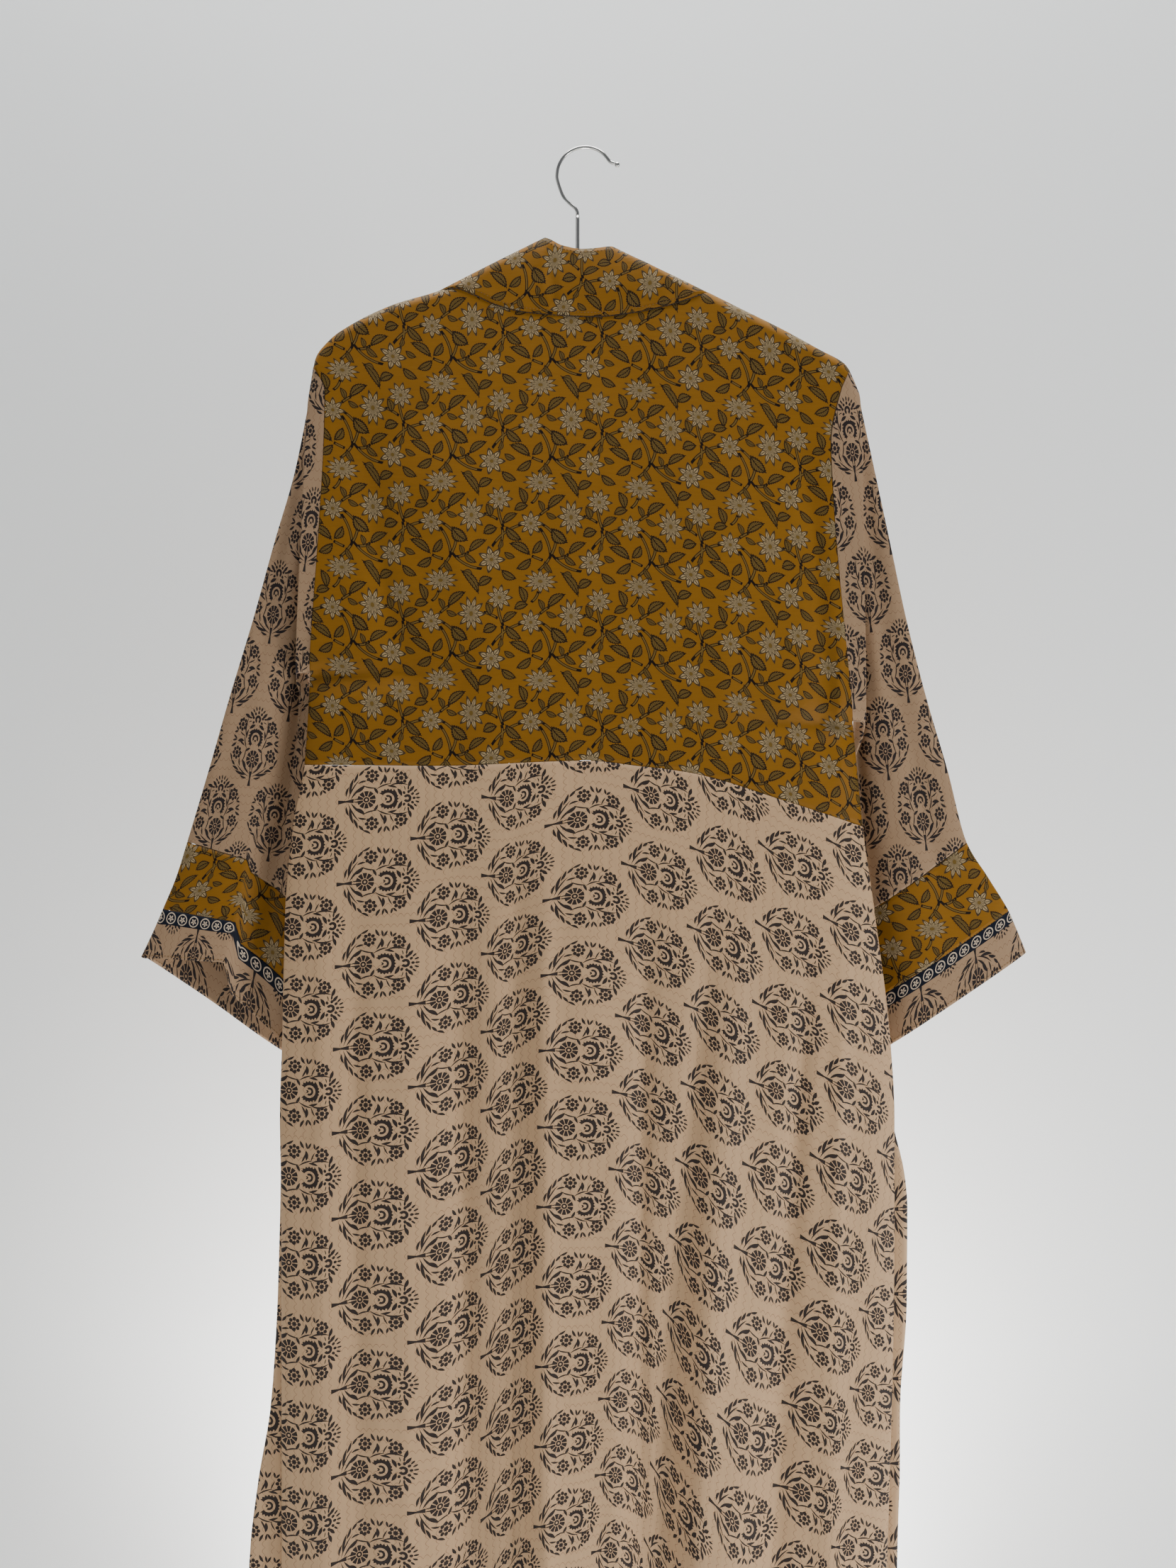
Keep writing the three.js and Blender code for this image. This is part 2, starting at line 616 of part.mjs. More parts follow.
function backStations() {
  const [x, y, z] = ['x', 'y', 'z'].map((name) => column(BACK_BAND, 'seam', name))
  const stations = []
  for (let i = 0; i <= NECK_COLUMNS; i += 1) {
    const seam = lerp(NECK_LEFT, NECK_RIGHT, i / NECK_COLUMNS)
    stations.push({
      seam: new THREE.Vector3(seam, backY(seam, neckZ(seam)), neckZ(seam)),
      edge: new THREE.Vector3(x(seam), y(seam), z(seam)),
    })
  }
  return stations
}

const bandStations = [
  ...frontStations('left').reverse(),
  ...backStations(),
  ...frontStations('right'),
]
const BAND_GRID = bandStations.length - 1
bandStations.forEach((station, i) => {
  const before = bandStations[Math.max(i - 1, 0)].seam
  const after = bandStations[Math.min(i + 1, BAND_GRID)].seam
  const along = after.clone().sub(before).normalize()
  const across = station.edge.clone().sub(station.seam)
  const clear = across.length() * Math.sin(across.angleTo(along))
  const turning = clamp01(1 + station.seam.y / FOLD_RADIUS)
  const widening = station.seam.y > 0 ? 1 : lerp(1, LEANING_SEAM, turning)
  station.gap = (BAND_SEAM_GAP * widening) / clear
})

function bandPoint(u, k) {
  const i = Math.min(Math.floor(k), BAND_GRID - 1)
  const seam = bandStations[i].seam.clone().lerp(bandStations[i + 1].seam, k - i)
  const edge = bandStations[i].edge.clone().lerp(bandStations[i + 1].edge, k - i)
  const gap = lerp(bandStations[i].gap, bandStations[i + 1].gap, k - i)
  return seam.lerp(edge, lerp(gap, 1, u))
}

// The band is pieced on the shoulders. A part runs from one station to another, and its first
// and last rows may be shortened to this share of a row, so that the parts stay clear.
const BAND_JOIN_LEFT = FRONT_STATIONS
const BAND_JOIN_RIGHT = FRONT_STATIONS + NECK_COLUMNS
const FRONT_SHARE = 0.5
const BACK_SHARE = 0.4
const BAND_COLUMNS = 3

function bandPart(name, first, last, startShare, endShare) {
  const rows = last - first
  const point = (u, v) => {
    const k = lerp(first, last, clamp01(v))
    const shortStart = Math.max(first + 1 - k, 0) * (1 - startShare)
    const shortEnd = Math.max(k - last + 1, 0) * (1 - endShare)
    return bandPoint(u, k + shortStart - shortEnd)
  }
  add(name, wall(point, BAND_COLUMNS, rows), mustard)
}

bandPart('neckband_left', 0, BAND_JOIN_LEFT, 1, FRONT_SHARE)
bandPart('neckband_back', BAND_JOIN_LEFT - 1, BAND_JOIN_RIGHT + 1, BACK_SHARE, BACK_SHARE)
bandPart('neckband_right', BAND_JOIN_RIGHT, BAND_GRID, FRONT_SHARE, 1)

// Sleeves: rings from the armhole to the hem. phi runs from the outer fold over the back layer
// to the inner seam, and back over the front layer.
function sleeve(side) {
  const rows = (side === 'left' ? LEFT_SLEEVE : RIGHT_SLEEVE).map((row, i) => ({ ...row, row: i }))
  const names = ['outX', 'outZ', 'inX', 'inZ', 'outY', 'inY', 'half', 'lift']
  const at = Object.fromEntries(names.map((name) => [name, column(rows, 'row', name)]))
  const panelEdge = side === 'left' ? 0 : 1

  const armhole = (phi) => {
    const turn = phi - Math.floor(phi)
    const row = SLEEVE_COLUMNS * Math.min(turn, 1 - turn)
    const panel = turn < 0.5 ? backYoke : frontYoke(side)
    const point = panel(panelEdge, row / YOKE_GRID)
    const joined = Math.min(row, ARMHOLE_ROWS - row)
    if (joined < 1) point.y *= joined
    return point
  }
  const ring = (row, share, round) => {
    const half = at.half(row) * Math.sign(round) * Math.pow(Math.abs(round), SLEEVE_SQUARENESS)
    const onBack = smooth(round / LIFT_ONSET)
    const toFold = share < SLEEVE_FOLD_AT
      ? share / SLEEVE_FOLD_AT
      : LIFT_UNDER * (1 - share) / (1 - SLEEVE_FOLD_AT)
    const lift = at.lift(row) * onBack * toFold
    return new THREE.Vector3(
      lerp(at.outX(row), at.inX(row), share),
      lerp(at.outY(row), at.inY(row), share) - half - lift * LIFT_OUT,
      lerp(at.outZ(row), at.inZ(row), share) + lift,
    )
  }
  return (row, phi) => {
    const share = (1 - Math.cos(2 * Math.PI * phi)) / 2
    const round = Math.sin(2 * Math.PI * phi)
    if (row >= 1) return ring(row, share, round)
    const start = armhole(phi)
    const end = ring(1, share, round)
    return start.lerp(end, lerp(ARMHOLE_GAP / start.distanceTo(end), 1, row))
  }
}

// A whole ring of the sleeve, between two of its rows
function sleeveRing(side, from, to) {
  const point = sleeve(side)
  const turn = side === 'left' ? 1 : -1
  return (u, v) => point(lerp(from, to, v), turn * u)
}

const SLEEVE_ROWS = 16
const RING_ROWS = 3

for (const side of ['left', 'right']) {
  const main = sleeveRing(side, 0, BAND_ROW - ROW_GAP)
  const band = sleeveRing(side, BAND_ROW + ROW_GAP, CUFF_ROW - ROW_GAP)
  const cuff = sleeveRing(side, CUFF_ROW + ROW_GAP, HEM_ROW)
  add(`sleeve_${side}`, wall(main, SLEEVE_COLUMNS, SLEEVE_ROWS, { tube: true }), tan)
  add(`sleeve_band_${side}`, wall(band, SLEEVE_COLUMNS, RING_ROWS, { tube: true }), mustard)
  add(`cuff_${side}`, wall(cuff, SLEEVE_COLUMNS, RING_ROWS, { tube: true }), tan)
}

// Hanger arms: an outline with a rounded edge, tilted as it hangs
function hangerBody() {
  const top = column(ARM_TOP, 'x', 'top')
  const height = column(ARM_TOP, 'x', 'height')
  const tip = ARM_TOP[ARM_TOP.length - 1].x
  const outline = []
  for (let i = -ARM_STEPS; i <= ARM_STEPS; i += 1) {
    const x = (i / ARM_STEPS) * tip
    outline.push(new THREE.Vector2(x, top(Math.abs(x)) - ARM_EDGE))
  }
  for (let i = ARM_STEPS; i >= -ARM_STEPS; i -= 1) {
    const x = (i / ARM_STEPS) * tip
    outline.push(new THREE.Vector2(x, top(Math.abs(x)) - height(Math.abs(x)) + ARM_EDGE))
  }
  const geometry = new THREE.ExtrudeGeometry(new THREE.Shape(outline), {
    depth: 2 * (ARM_HALF - ARM_EDGE),
    bevelSize: ARM_EDGE,
    bevelThickness: ARM_EDGE,
    bevelSegments: 2,
    steps: 1,
  })
  geometry.translate(0, 0, ARM_EDGE - ARM_HALF)
  geometry.rotateX(Math.PI / 2)
  return geometry
}

const arms = add('hanger_body', hangerBody(), wood)
arms.position.set(FERRULE.x / 2, 0, ARM_TOP[0].top)
arms.geometry.translate(0, 0, -ARM_TOP[0].top)
arms.rotation.y = HANGER_TILT

// Hook: one wire swept along its centre line, from under the ball to the arms
function hookLine() {
  const point = ({ x, z }) => new THREE.Vector3(x, 0, z)
  const bow = []
  for (let i = 0; i <= BOW_STEPS; i += 1) {
    const angle = lerp(BOW_START, BOW_END, i / BOW_STEPS)
    const x = BOW_RADIUS * Math.cos(angle)
    bow.push({ x, z: BOW_CENTRE_Z + BOW_RADIUS * Math.sin(angle) })
  }
  const points = [...HOOK_LIP, ...bow, ...HOOK_NECK].map(point)
  return new THREE.CatmullRomCurve3(points, false, 'centripetal')
}

function hookWire() {
  const section = new THREE.Shape()
  section.absarc(0, 0, WIRE_RADIUS, 0, 2 * Math.PI)
  return new THREE.ExtrudeGeometry(section, {
    extrudePath: hookLine(),
    steps: WIRE_STEPS,
    curveSegments: WIRE_SIDES / 2,
    bevelEnabled: false,
  })
}

add('hanger_hook', hookWire(), steel)

function ferruleTube() {
  const { x, top, radius, sides } = FERRULE
  const length = top - ARM_TOP[0].top - 2 * SEAM_GAP
  const tube = new THREE.CylinderGeometry(radius, radius, length, sides)
  tube.rotateX(Math.PI / 2)
  add('hanger_ferrule', tube, steel).position.set(x, 0, top - length / 2)
}

ferruleTube()

const ball = new THREE.SphereGeometry(BALL.radius, 12, 8)
add('hanger_ball', ball, steel).position.set(BALL.x, 0, BALL.z)

export default robe
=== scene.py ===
"""The looks of a kimono-style robe of block-printed silk, hung on its hanger and seen from its back.

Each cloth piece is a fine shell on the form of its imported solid, with creases, prints and
stitches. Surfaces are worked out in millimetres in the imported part's own frame.
"""

import math

import bpy
import numpy as np
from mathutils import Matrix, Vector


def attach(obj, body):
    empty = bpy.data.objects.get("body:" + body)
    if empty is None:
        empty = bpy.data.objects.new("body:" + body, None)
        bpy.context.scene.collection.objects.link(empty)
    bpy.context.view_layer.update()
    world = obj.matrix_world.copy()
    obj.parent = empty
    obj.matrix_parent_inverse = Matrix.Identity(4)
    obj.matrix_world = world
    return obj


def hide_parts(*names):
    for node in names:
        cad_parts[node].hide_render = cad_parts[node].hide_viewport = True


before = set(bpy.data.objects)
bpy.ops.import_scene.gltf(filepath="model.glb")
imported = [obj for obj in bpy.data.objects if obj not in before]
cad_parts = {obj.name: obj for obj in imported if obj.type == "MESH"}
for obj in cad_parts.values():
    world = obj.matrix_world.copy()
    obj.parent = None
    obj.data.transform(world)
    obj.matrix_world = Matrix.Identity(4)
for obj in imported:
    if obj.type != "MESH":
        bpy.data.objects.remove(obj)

bl_info = {
    "name": "Block-print robe",
    "version": (1, 0, 0),
    "blender": (4, 0, 0),
    "location": "3D View > Sidebar > Robe",
    "description": "Builds the robe, its hanger and a plain studio around them",
    "category": "Object",
}

# Sizes in millimetres

MM = 0.001
HEM_Z = -1420.0
WAIST_MIDDLE = -555.0
SEAM_GAP = 0.3
CLOTH = 1.2
SHOULDER_ROUND = 9.4
ARMHOLE_HALF = 11.0
ARMHOLE_ROUND = 26.0
SECTION_POWER = 2.6
FOLDS_START = -600.0
FLAP_TOP = -760.0
FLAP_FADE = 170.0
FLAP_BEND = 4.0
FLAP_RETURN = 20.0
FLAP_SHARE = 0.34
BAND_START = 0.75
COLLAR_START = -1.3
COLLAR_LAP = 0.9
SLEEVE_REACH = 0.97
CUFF_DEPTH = 42.0
BORDER_DEPTH = 12.0
TREE_PITCH = (67.0, 77.0)
VINE_PITCH = 88.0
STITCH_PITCH = 3.1
STITCH_LENGTH = 1.9
STITCH_HALF = 0.28
STITCH_STAND = 0.45
STITCH_SIDES = 6


# Tables and curves


def table(names, *rows):
    """Rows of numbers as one array for each named column."""
    return dict(zip(names.split(), np.array(rows, float).T))


def curve(rows, key, name):
    """A smooth curve through one column against another, with no overshoot: a cubic whose slope
    at each point is the harmonic mean of the straight slopes on its two sides."""
    order = np.argsort(rows[key])
    at = rows[key][order]
    value = rows[name][order]
    slope = np.diff(value) / np.diff(at)
    before = np.concatenate([slope[:1], slope])
    after = np.concatenate([slope, slope[-1:]])
    agree = before * after > 0
    tangent = np.where(agree, 2 * before * after / np.where(agree, before + after, 1), 0)

    def value_at(k):
        k = np.clip(k, at[0], at[-1])
        i = np.clip(np.searchsorted(at, k, side="right") - 1, 0, len(at) - 2)
        width = at[i + 1] - at[i]
        return hermite(
            (k - at[i]) / width, value[i], value[i + 1], tangent[i] * width, tangent[i + 1] * width
        )

    return value_at


def hermite(t, start, end, slope_start, slope_end):
    """The cubic from start to end with these slopes at its ends, at t from 0 to 1."""
    rise = end - start
    square = (3 * rise - 2 * slope_start - slope_end) * t**2
    cube = (slope_start + slope_end - 2 * rise) * t**3
    return start + slope_start * t + square + cube


def lerp(a, b, k):
    """The value a share k of the way from a to b."""
    return a + (b - a) * k


def smooth(k):
    """An ease from 0 to 1: three squares less two cubes."""
    k = np.clip(k, 0, 1)
    return k * k * (3 - 2 * k)


SHOULDER = table(
    "x z",
    (-246.5, -200), (-244, -190), (-238, -181), (-222, -166.5), (-173, -141.8), (-135, -130.4),
    (-116, -122.5), (-103, -117.5), (-60, -103), (0, -97), (60, -108), (107, -129),
    (143, -146.8), (178, -164.2), (213, -183.4), (234, -195), (240.5, -203),
)
BACK_NECK = table(
    "x z",
    (-133, -129.8), (-116, -128.4), (-98, -134.6), (-78, -143.6), (-50, -150), (9, -153.5),
    (39, -150.5), (74, -143.5), (100, -135), (111, -131),
)
SIDES = table(
    "z left right left_flap right_flap",
    (-200, -246.5, 240.5, 0, 0), (-208, -240, 236, 0, 0), (-222, -234.5, 230, 0, 0),
    (-267, -235.5, 221, 0, 0), (-330, -239, 224, 0, 0), (-401, -244, 230, 0, 0),
    (-471, -249, 237, 0, 0), (-558, -254.5, 246, 0, 0), (-615, -265, 251.5, 0, 0),
    (-689, -272, 262, 0, 0), (-813, -275, 277, 0, 1), (-880, -277, 280.5, 0, 3),
    (-962, -275.5, 280.5, 2, 12.5), (-1048, -275.5, 280, 4.5, 12.5),
    (-1141, -275.5, 278, 10.5, 8.5), (-1211, -275.5, 276, 22, 10),
    (-1275, -275.5, 274, 29.5, 10), (HEM_Z, -276, 272, 35, 12),
)
WAIST = table(
    "x z",
    (-290, -558.6), (-133, -560), (2.5, -555.4), (46, -560), (93, -566), (178, -591),
    (251.5, -615), (290, -628),
)
DEPTH = table(
    "z back front",
    (-130, 9.4, 9.4), (-220, 13, 12), (-330, 19, 16), (-470, 23, 19), (-600, 25, 21),
    (-900, 28, 23), (HEM_Z, 32, 26),
)
BACK_FOLDS = table(
    "waist hem half rise",
    (-95, -88, 30, -9), (-45, -34, 32, 12), (55, 72, 34, -10), (95, 122, 30, 12),
    (160, 186, 34, -7), (-190, -205, 44, 5),
)
FRONT_FOLDS = table(
    "waist hem half rise",
    (-190, -205, 34, 9), (-120, -130, 32, -8), (120, 132, 32, 9), (185, 200, 36, -8),
)
FRONT_EDGES = table(
    "z seam edge",
    (-131, 1.0, 38), (-146, 0.955, 46), (-170, 0.88, 50), (-200, 0.797, 44), (-235, 0.707, 34),
    (-275, 0.632, 23), (-325, 0.571, 13), (-380, 0.541, 7.5), (-450, 0.53, 5),
    (-1000, 0.54, 6), (HEM_Z, 0.564, 8),
)
BACK_BAND = table(
    "seam x y z",
    (-133, -38, 0, -81.6), (-128, -37, -3, -81.8), (-116, -35, -5, -82.6),
    (-98, -31, -6.6, -84.6), (-60, -21, -8, -90), (9, -3, -8.8, -93.5), (50, 10, -8.4, -92.6),
    (84, 20, -7, -91), (100, 24.5, -5, -90.4), (107, 26.5, -3, -90.6), (111, 28, 0, -91),
)
FRONT_BAND = table(
    "z drop y",
    (-130, 48, 1), (-133, 48, 4), (-140, 46, 7), (-150, 42, 9), (-170, 36, 12), (-200, 34, 13.5),
    (-235, 29, 14), (-275, 21, 15), (-325, 13, 16.5), (-380, 5, 18), (-450, 0, 19.5),
)
SLEEVE_NAMES = "row out_x out_z in_x in_z out_y in_y half lift"
LEFT_SLEEVE = table(
    SLEEVE_NAMES,
    (0, -246.5, -200, -249, -475, 0, 0, 11, 0), (1, -250, -222, -262, -476, 0, 0, 11.5, 0),
    (2, -252, -234, -263, -485, 3, 9, 6, 0), (3, -264, -292, -252, -520, 5, 21, 7, 0),
    (4, -283, -357, -243, -562, 6, 28, 8, 0), (5, -302, -425, -239, -606, 7, 31, 9, 0),
    (6, -324.5, -499, -235, -646, 8, 33, 10, 3), (7, -343, -563, -232, -682, 9, 34, 10.5, 9),
    (8, -363, -629, -229, -716, 10, 34, 11, 20), (9, -373, -661, -225, -762, 10, 35, 11, 28),
    (10, -385, -690, -221, -806, 10, 36, 11.5, 37), (11, -394.5, -712, -218, -840, 10, 37, 12, 46),
    (12, -405, -734, -215, -874, 10, 38, 12, 55),
)
RIGHT_SLEEVE = table(
    SLEEVE_NAMES,
    (0, 240.5, -203, 242, -519.5, 0, 0, 11, 0), (1, 248, -222, 254, -521, 0, 0, 11.5, 0),
    (2, 250.5, -234, 254, -530, 3, 9, 6, 0), (3, 262, -286, 245, -562, 5, 21, 7, 0),
    (4, 277, -355, 239, -596, 6, 28, 8, 0), (5, 292, -425, 236, -628, 7, 31, 9, 0),
    (6, 311, -499, 233, -659, 8, 33, 10, 0), (7, 330, -563, 230, -690, 9, 34, 10.5, 0),
    (8, 348, -630, 228, -720, 10, 34, 11, 0), (9, 367, -661, 225, -764, 10, 35, 11, 0),
    (10, 386, -692, 222, -808, 10, 36, 11.5, 0), (11, 393, -708, 218, -836, 10, 37, 12, 0),
    (12, 402, -730, 215, -863, 10, 38, 12, 0),
)
BAND_ROW, CUFF_ROW, HEM_ROW = 8, 10, 12
ROW_GAP = 0.0085
SLEEVE_FOLD_AT = 0.42
UNDERARM = {"left": -475.0, "right": -519.5}

shoulder_z = curve(SHOULDER, "x", "z")
neck_z = curve(BACK_NECK, "x", "z")
waist_z = curve(WAIST, "x", "z")
edge_x = {side: curve(SIDES, "z", side) for side in ("left", "right")}
flap_reach = {side: curve(SIDES, "z", side + "_flap") for side in ("left", "right")}
depth_of = {face: curve(DEPTH, "z", face) for face in ("back", "front")}
band_seam = curve(FRONT_EDGES, "z", "seam")
band_edge = curve(FRONT_EDGES, "z", "edge")
NECK = {"left": -133.0, "right": 111.0}
TIP = {"left": -246.5, "right": 240.5}
NECK_HALF = 133.0


# The body's surfaces


def fold_over(x, z):
    """How much of the full depth is reached this far under the shoulder fold: a quarter round,
    measured square to the fold."""
    slope = (shoulder_z(x + 1) - shoulder_z(x - 1)) / 2
    left = 1 - np.clip((shoulder_z(x) - z) / np.hypot(1, slope) / SHOULDER_ROUND, 0, 1)
    return np.sqrt(1 - left**2)


def drape(folds, x, z):
    """The sum of soft bell-shaped folds that widen from the waist to the hem."""
    down = np.clip((FOLDS_START - z) / (FOLDS_START - HEM_Z), 0, 1)
    total = np.zeros_like(x)
    for waist, hem, half, rise in zip(*folds.values()):
        total += rise * np.exp(-(((x - lerp(waist, hem, down)) / half) ** 2)) * down
    return total


def stand_off(face, folds, x, z):
    """The distance of a body panel from the middle plane: a rounded section that closes at the
    sides below the armhole and stays open by the armhole's half gap above it."""
    across = np.clip((x - edge_x["left"](z)) / (edge_x["right"](z) - edge_x["left"](z)), 0, 1)
    off = np.abs(2 * across - 1) ** SECTION_POWER
    under = np.where(across < 0.5, UNDERARM["left"], UNDERARM["right"])
    openness = smooth(1 + (z - under) / ARMHOLE_ROUND)
    bow = lerp((1 - off) ** (1 / SECTION_POWER), 1 - off, openness)
    left = 1 - np.clip((z - under) / ARMHOLE_ROUND, 0, 1)
    edge = ARMHOLE_HALF * np.sqrt(1 - left**2) + openness * CLOTH / 2
    calm = smooth(6 * np.minimum(across, 1 - across))
    full = fold_over(x, z) * (edge + (depth_of[face](z) - edge) * bow)
    return SEAM_GAP / 2 + full + drape(folds, x, z) * calm


def creases(rows, x, z):
    """Listed creases: each is a soft trough or ridge along a slightly bowed line, with an
    uneven width, that fades at its two ends."""
    total = np.zeros_like(x)
    for x0, z0, x1, z1, bow, half, rise in zip(*rows.values()):
        run = np.array([x1 - x0, z1 - z0])
        length = np.hypot(*run)
        k = ((x - x0) * run[0] + (z - z0) * run[1]) / length**2
        aside = ((x - x0) * run[1] - (z - z0) * run[0]) / length
        aside = aside - bow * np.sin(np.pi * np.clip(k, 0, 1))
        width = half * (1 + 0.25 * np.sin(7 * k + x0))
        fade = smooth(k / 0.25) * smooth((1 - k) / 0.25)
        total += rise * np.exp(-((aside / width) ** 2)) * fade
    return total


def share_u(u):
    """Columns of points that crowd together towards both sides."""
    return lerp(u, (1 - np.cos(np.pi * u)) / 2, 0.7)


def seam_height(x_at, share):
    """The height of the waist seam in each column: the seam's height at the column's own x, found
    again six times from a level start."""
    z = np.full_like(share, WAIST_MIDDLE)
    for _ in range(6):
        z = waist_z(x_at(z, share))
    return z


def back_x(z, share):
    """The place across the body at a share of its width from the left side seam."""
    return lerp(edge_x["left"](z), edge_x["right"](z), share)


def band_seam_x(side, z):
    """The line where the neckband is sewn to a front: a share of the half neck, which starts at the
    side's own neck point and is even from 200 mm below it."""
    spread = lerp(NECK[side] / NECK_HALF, np.sign(NECK[side]), smooth((-131 - z) / 200))
    return spread * NECK_HALF * band_seam(z)


def front_x(side):
    """The place across a front at a share of its width from the side seam to the band's seam."""
    return lambda z, share: lerp(edge_x[side](z), band_seam_x(side, z), share)


def back_panel(u, v, upper):
    """The back above or below the waist seam, for u across and v down, both 0 to 1."""
    share = share_u(u)
    waist = seam_height(back_x, share)
    if upper:
        top_x = lerp(TIP["left"], TIP["right"], share)
        inside = (top_x > NECK["left"]) & (top_x < NECK["right"])
        top = np.where(inside, neck_z(top_x), shoulder_z(top_x))
        z = lerp(top, waist + SEAM_GAP / 2, v**1.5)
    else:
        z = lerp(waist - SEAM_GAP, HEM_Z, v)
    x = back_x(z, share)
    y = -stand_off("back", BACK_FOLDS, x, z)
    return x, y - creases(BACK_CREASES, x, z), z


def flap_path(side, z, k):
    """The fold of the lower front that stands out past the back's edge: out from the side seam,
    round a half circle, and back in."""
    out = -1 if side == "left" else 1
    seam = edge_x[side](z)
    centre = seam + out * (flap_reach[side](z) - FLAP_BEND)
    start = SEAM_GAP + CLOTH / 2
    turn = np.pi * np.clip((k - 0.4) / 0.4, 0, 1)
    first = lerp(seam - out * CLOTH, centre, np.clip(k / 0.4, 0, 1))
    last = lerp(centre, seam - out * FLAP_RETURN, np.clip((k - 0.8) / 0.2, 0, 1))
    x = np.where(k < 0.4, first, np.where(k < 0.8, centre + out * FLAP_BEND * np.sin(turn), last))
    return x, start + FLAP_BEND * (1 - np.cos(turn))


def front_panel(side, u, v, upper):
    """A front above or below the waist seam, from the side seam at u 0 to the band at u 1. The
    lower front eases into its side fold under FLAP_TOP."""
    x_at = front_x(side)
    share = u**1.4
    waist = seam_height(x_at, share)
    if upper:
        top = shoulder_z(lerp(TIP[side], NECK[side], share))
        z = lerp(top, waist + SEAM_GAP / 2, v**1.5)
        x = x_at(z, share)
        y = stand_off("front", FRONT_FOLDS, x, z)
        return x, y + creases(FRONT_CREASES, np.abs(x), z), z
    z = lerp(waist - SEAM_GAP, HEM_Z, v)
    x = x_at(z, share)
    y = stand_off("front", FRONT_FOLDS, x, z) + creases(FRONT_CREASES, np.abs(x), z)
    k = u / FLAP_SHARE
    flap_x, flap_y = flap_path(side, z, np.minimum(k, 1))
    blend = smooth((FLAP_TOP - z) / FLAP_FADE) * (1 - smooth((k - 0.8) / 0.2))
    return lerp(x, flap_x, blend), lerp(y, flap_y, blend), z


BACK_CREASES = table(
    "x0 z0 x1 z1 bow half rise",
    (-33, -575, -29, -1500, 5, 9, 4.5),
    (-64, -570, -60, -1500, -4, 12, -9.0),
    (-118, -600, -112, -1500, -5, 17, -9.0),
    (-158, -640, -152, -1500, 4, 12, 3.0),
    (4, -600, 8, -1500, 4, 26, 4.0),
    (30, -800, 34, -1500, 5, 10, 3.5),
    (58, -600, 52, -1500, 6, 9, -6.0),
    (150, -620, 90, -1500, 10, 12, 4.6),
    (118, -640, 60, -1500, 8, 11, -8.0),
    (205, -680, 160, -1500, 6, 12, -7.0),
    (236, -640, 215, -1500, 4, 10, 3.4),
    (-205, -600, -196, -1500, 5, 14, -5.6),
    (-236, -600, -232, -1500, 3, 12, 2.8),
    (-200, -215, -150, -520, 12, 16, -3.6),
    (-150, -240, -60, -520, 10, 22, 2.0),
    (190, -230, 215, -580, -8, 12, -4.6),
    (150, -260, 120, -560, 6, 20, 2.2),
    (60, -190, 20, -420, 5, 18, -1.6),
    (228, -400, 232, -600, 2, 7, 2.4),
    (-110, -470, -118, -600, 2, 12, -2.4),
    (-20, -480, -30, -600, 2, 12, 2.0),
)
FRONT_CREASES = table(
    "x0 z0 x1 z1 bow half rise",
    (200, -230, 150, -540, 8, 12, -2.4),
    (130, -260, 120, -560, -6, 14, 2.0),
    (230, -400, 110, -600, 8, 10, -1.8),
    (170, -600, 150, -1500, 6, 10, 2.6),
    (110, -620, 112, -1500, -4, 10, -2.6),
    (225, -640, 215, -1500, 5, 12, -2.0),
)


# The neckband and the sleeves


def band_stations():
    """For each length of the band, arrays of x, y, z on its seam and on its free edge. The sides'
    edge turns down from the shoulder, and low down lies on the front's own surface."""
    seams, edges = [], []
    for side in ("left", "right"):
        shoulder = BACK_BAND["x"][0 if side == "left" else -1]
        shoulder_top = BACK_BAND["z"][0 if side == "left" else -1]
        top = shoulder_z(np.array(NECK[side]))
        down = np.linspace(0, 1, 170) ** 1.9
        z = lerp(top - 2, HEM_Z, down)
        turned = smooth((top - z) / 60)
        low = smooth((-380 - z) / 60)
        seam_x = band_seam_x(side, z)
        edge = np.sign(NECK[side]) * band_edge(z)
        edge_y = lerp(curve(FRONT_BAND, "z", "y")(z), stand_off("front", FRONT_FOLDS, edge, z), low)
        edge_z = lerp(shoulder_top, z + curve(FRONT_BAND, "z", "drop")(z), turned)
        seam = np.stack([seam_x, stand_off("front", FRONT_FOLDS, seam_x, z), z], 1)
        free = np.stack([lerp(shoulder, edge, turned), edge_y, edge_z], 1)
        seams.append(seam[::-1] if side == "left" else seam)
        edges.append(free[::-1] if side == "left" else free)
    seam_x = np.linspace(NECK["left"], NECK["right"], 110)
    seam_y = -stand_off("back", BACK_FOLDS, seam_x, neck_z(seam_x))
    back = np.stack([seam_x, seam_y, neck_z(seam_x)], 1)
    free = np.stack([curve(BACK_BAND, "seam", name)(seam_x) for name in ("x", "y", "z")], 1)
    return {"left": (seams[0], edges[0]), "back": (back, free), "right": (seams[1], edges[1])}


def neckband_part(name, u, v):
    """The band on straight lines between its seam at u 0 and its free edge at u 1. Its back laps
    the yoke and is a little full in the middle, by half a sine."""
    seam, edge = band_stations()[name]
    k = v * (len(seam) - 1)
    i = np.clip(np.floor(k).astype(int), 0, len(seam) - 2)
    part = (k - i)[..., None]
    low = lerp(seam[i], seam[i + 1], part)
    high = lerp(edge[i], edge[i + 1], part)
    length = np.linalg.norm(high - low, axis=-1)[..., None]
    start = COLLAR_START if name == "back" else BAND_START
    point = lerp(low, high, lerp(start / length, 1, u[..., None]))
    x, y, z = np.moveaxis(point, -1, 0)
    if name == "back":
        lap = COLLAR_LAP * (1 - smooth(u / 0.12)) * smooth(v / 0.06) * smooth((1 - v) / 0.06)
        y = y - lap - 1.6 * np.sin(np.pi * u) - creases(COLLAR_CREASES, x, z)
    return x, y, z


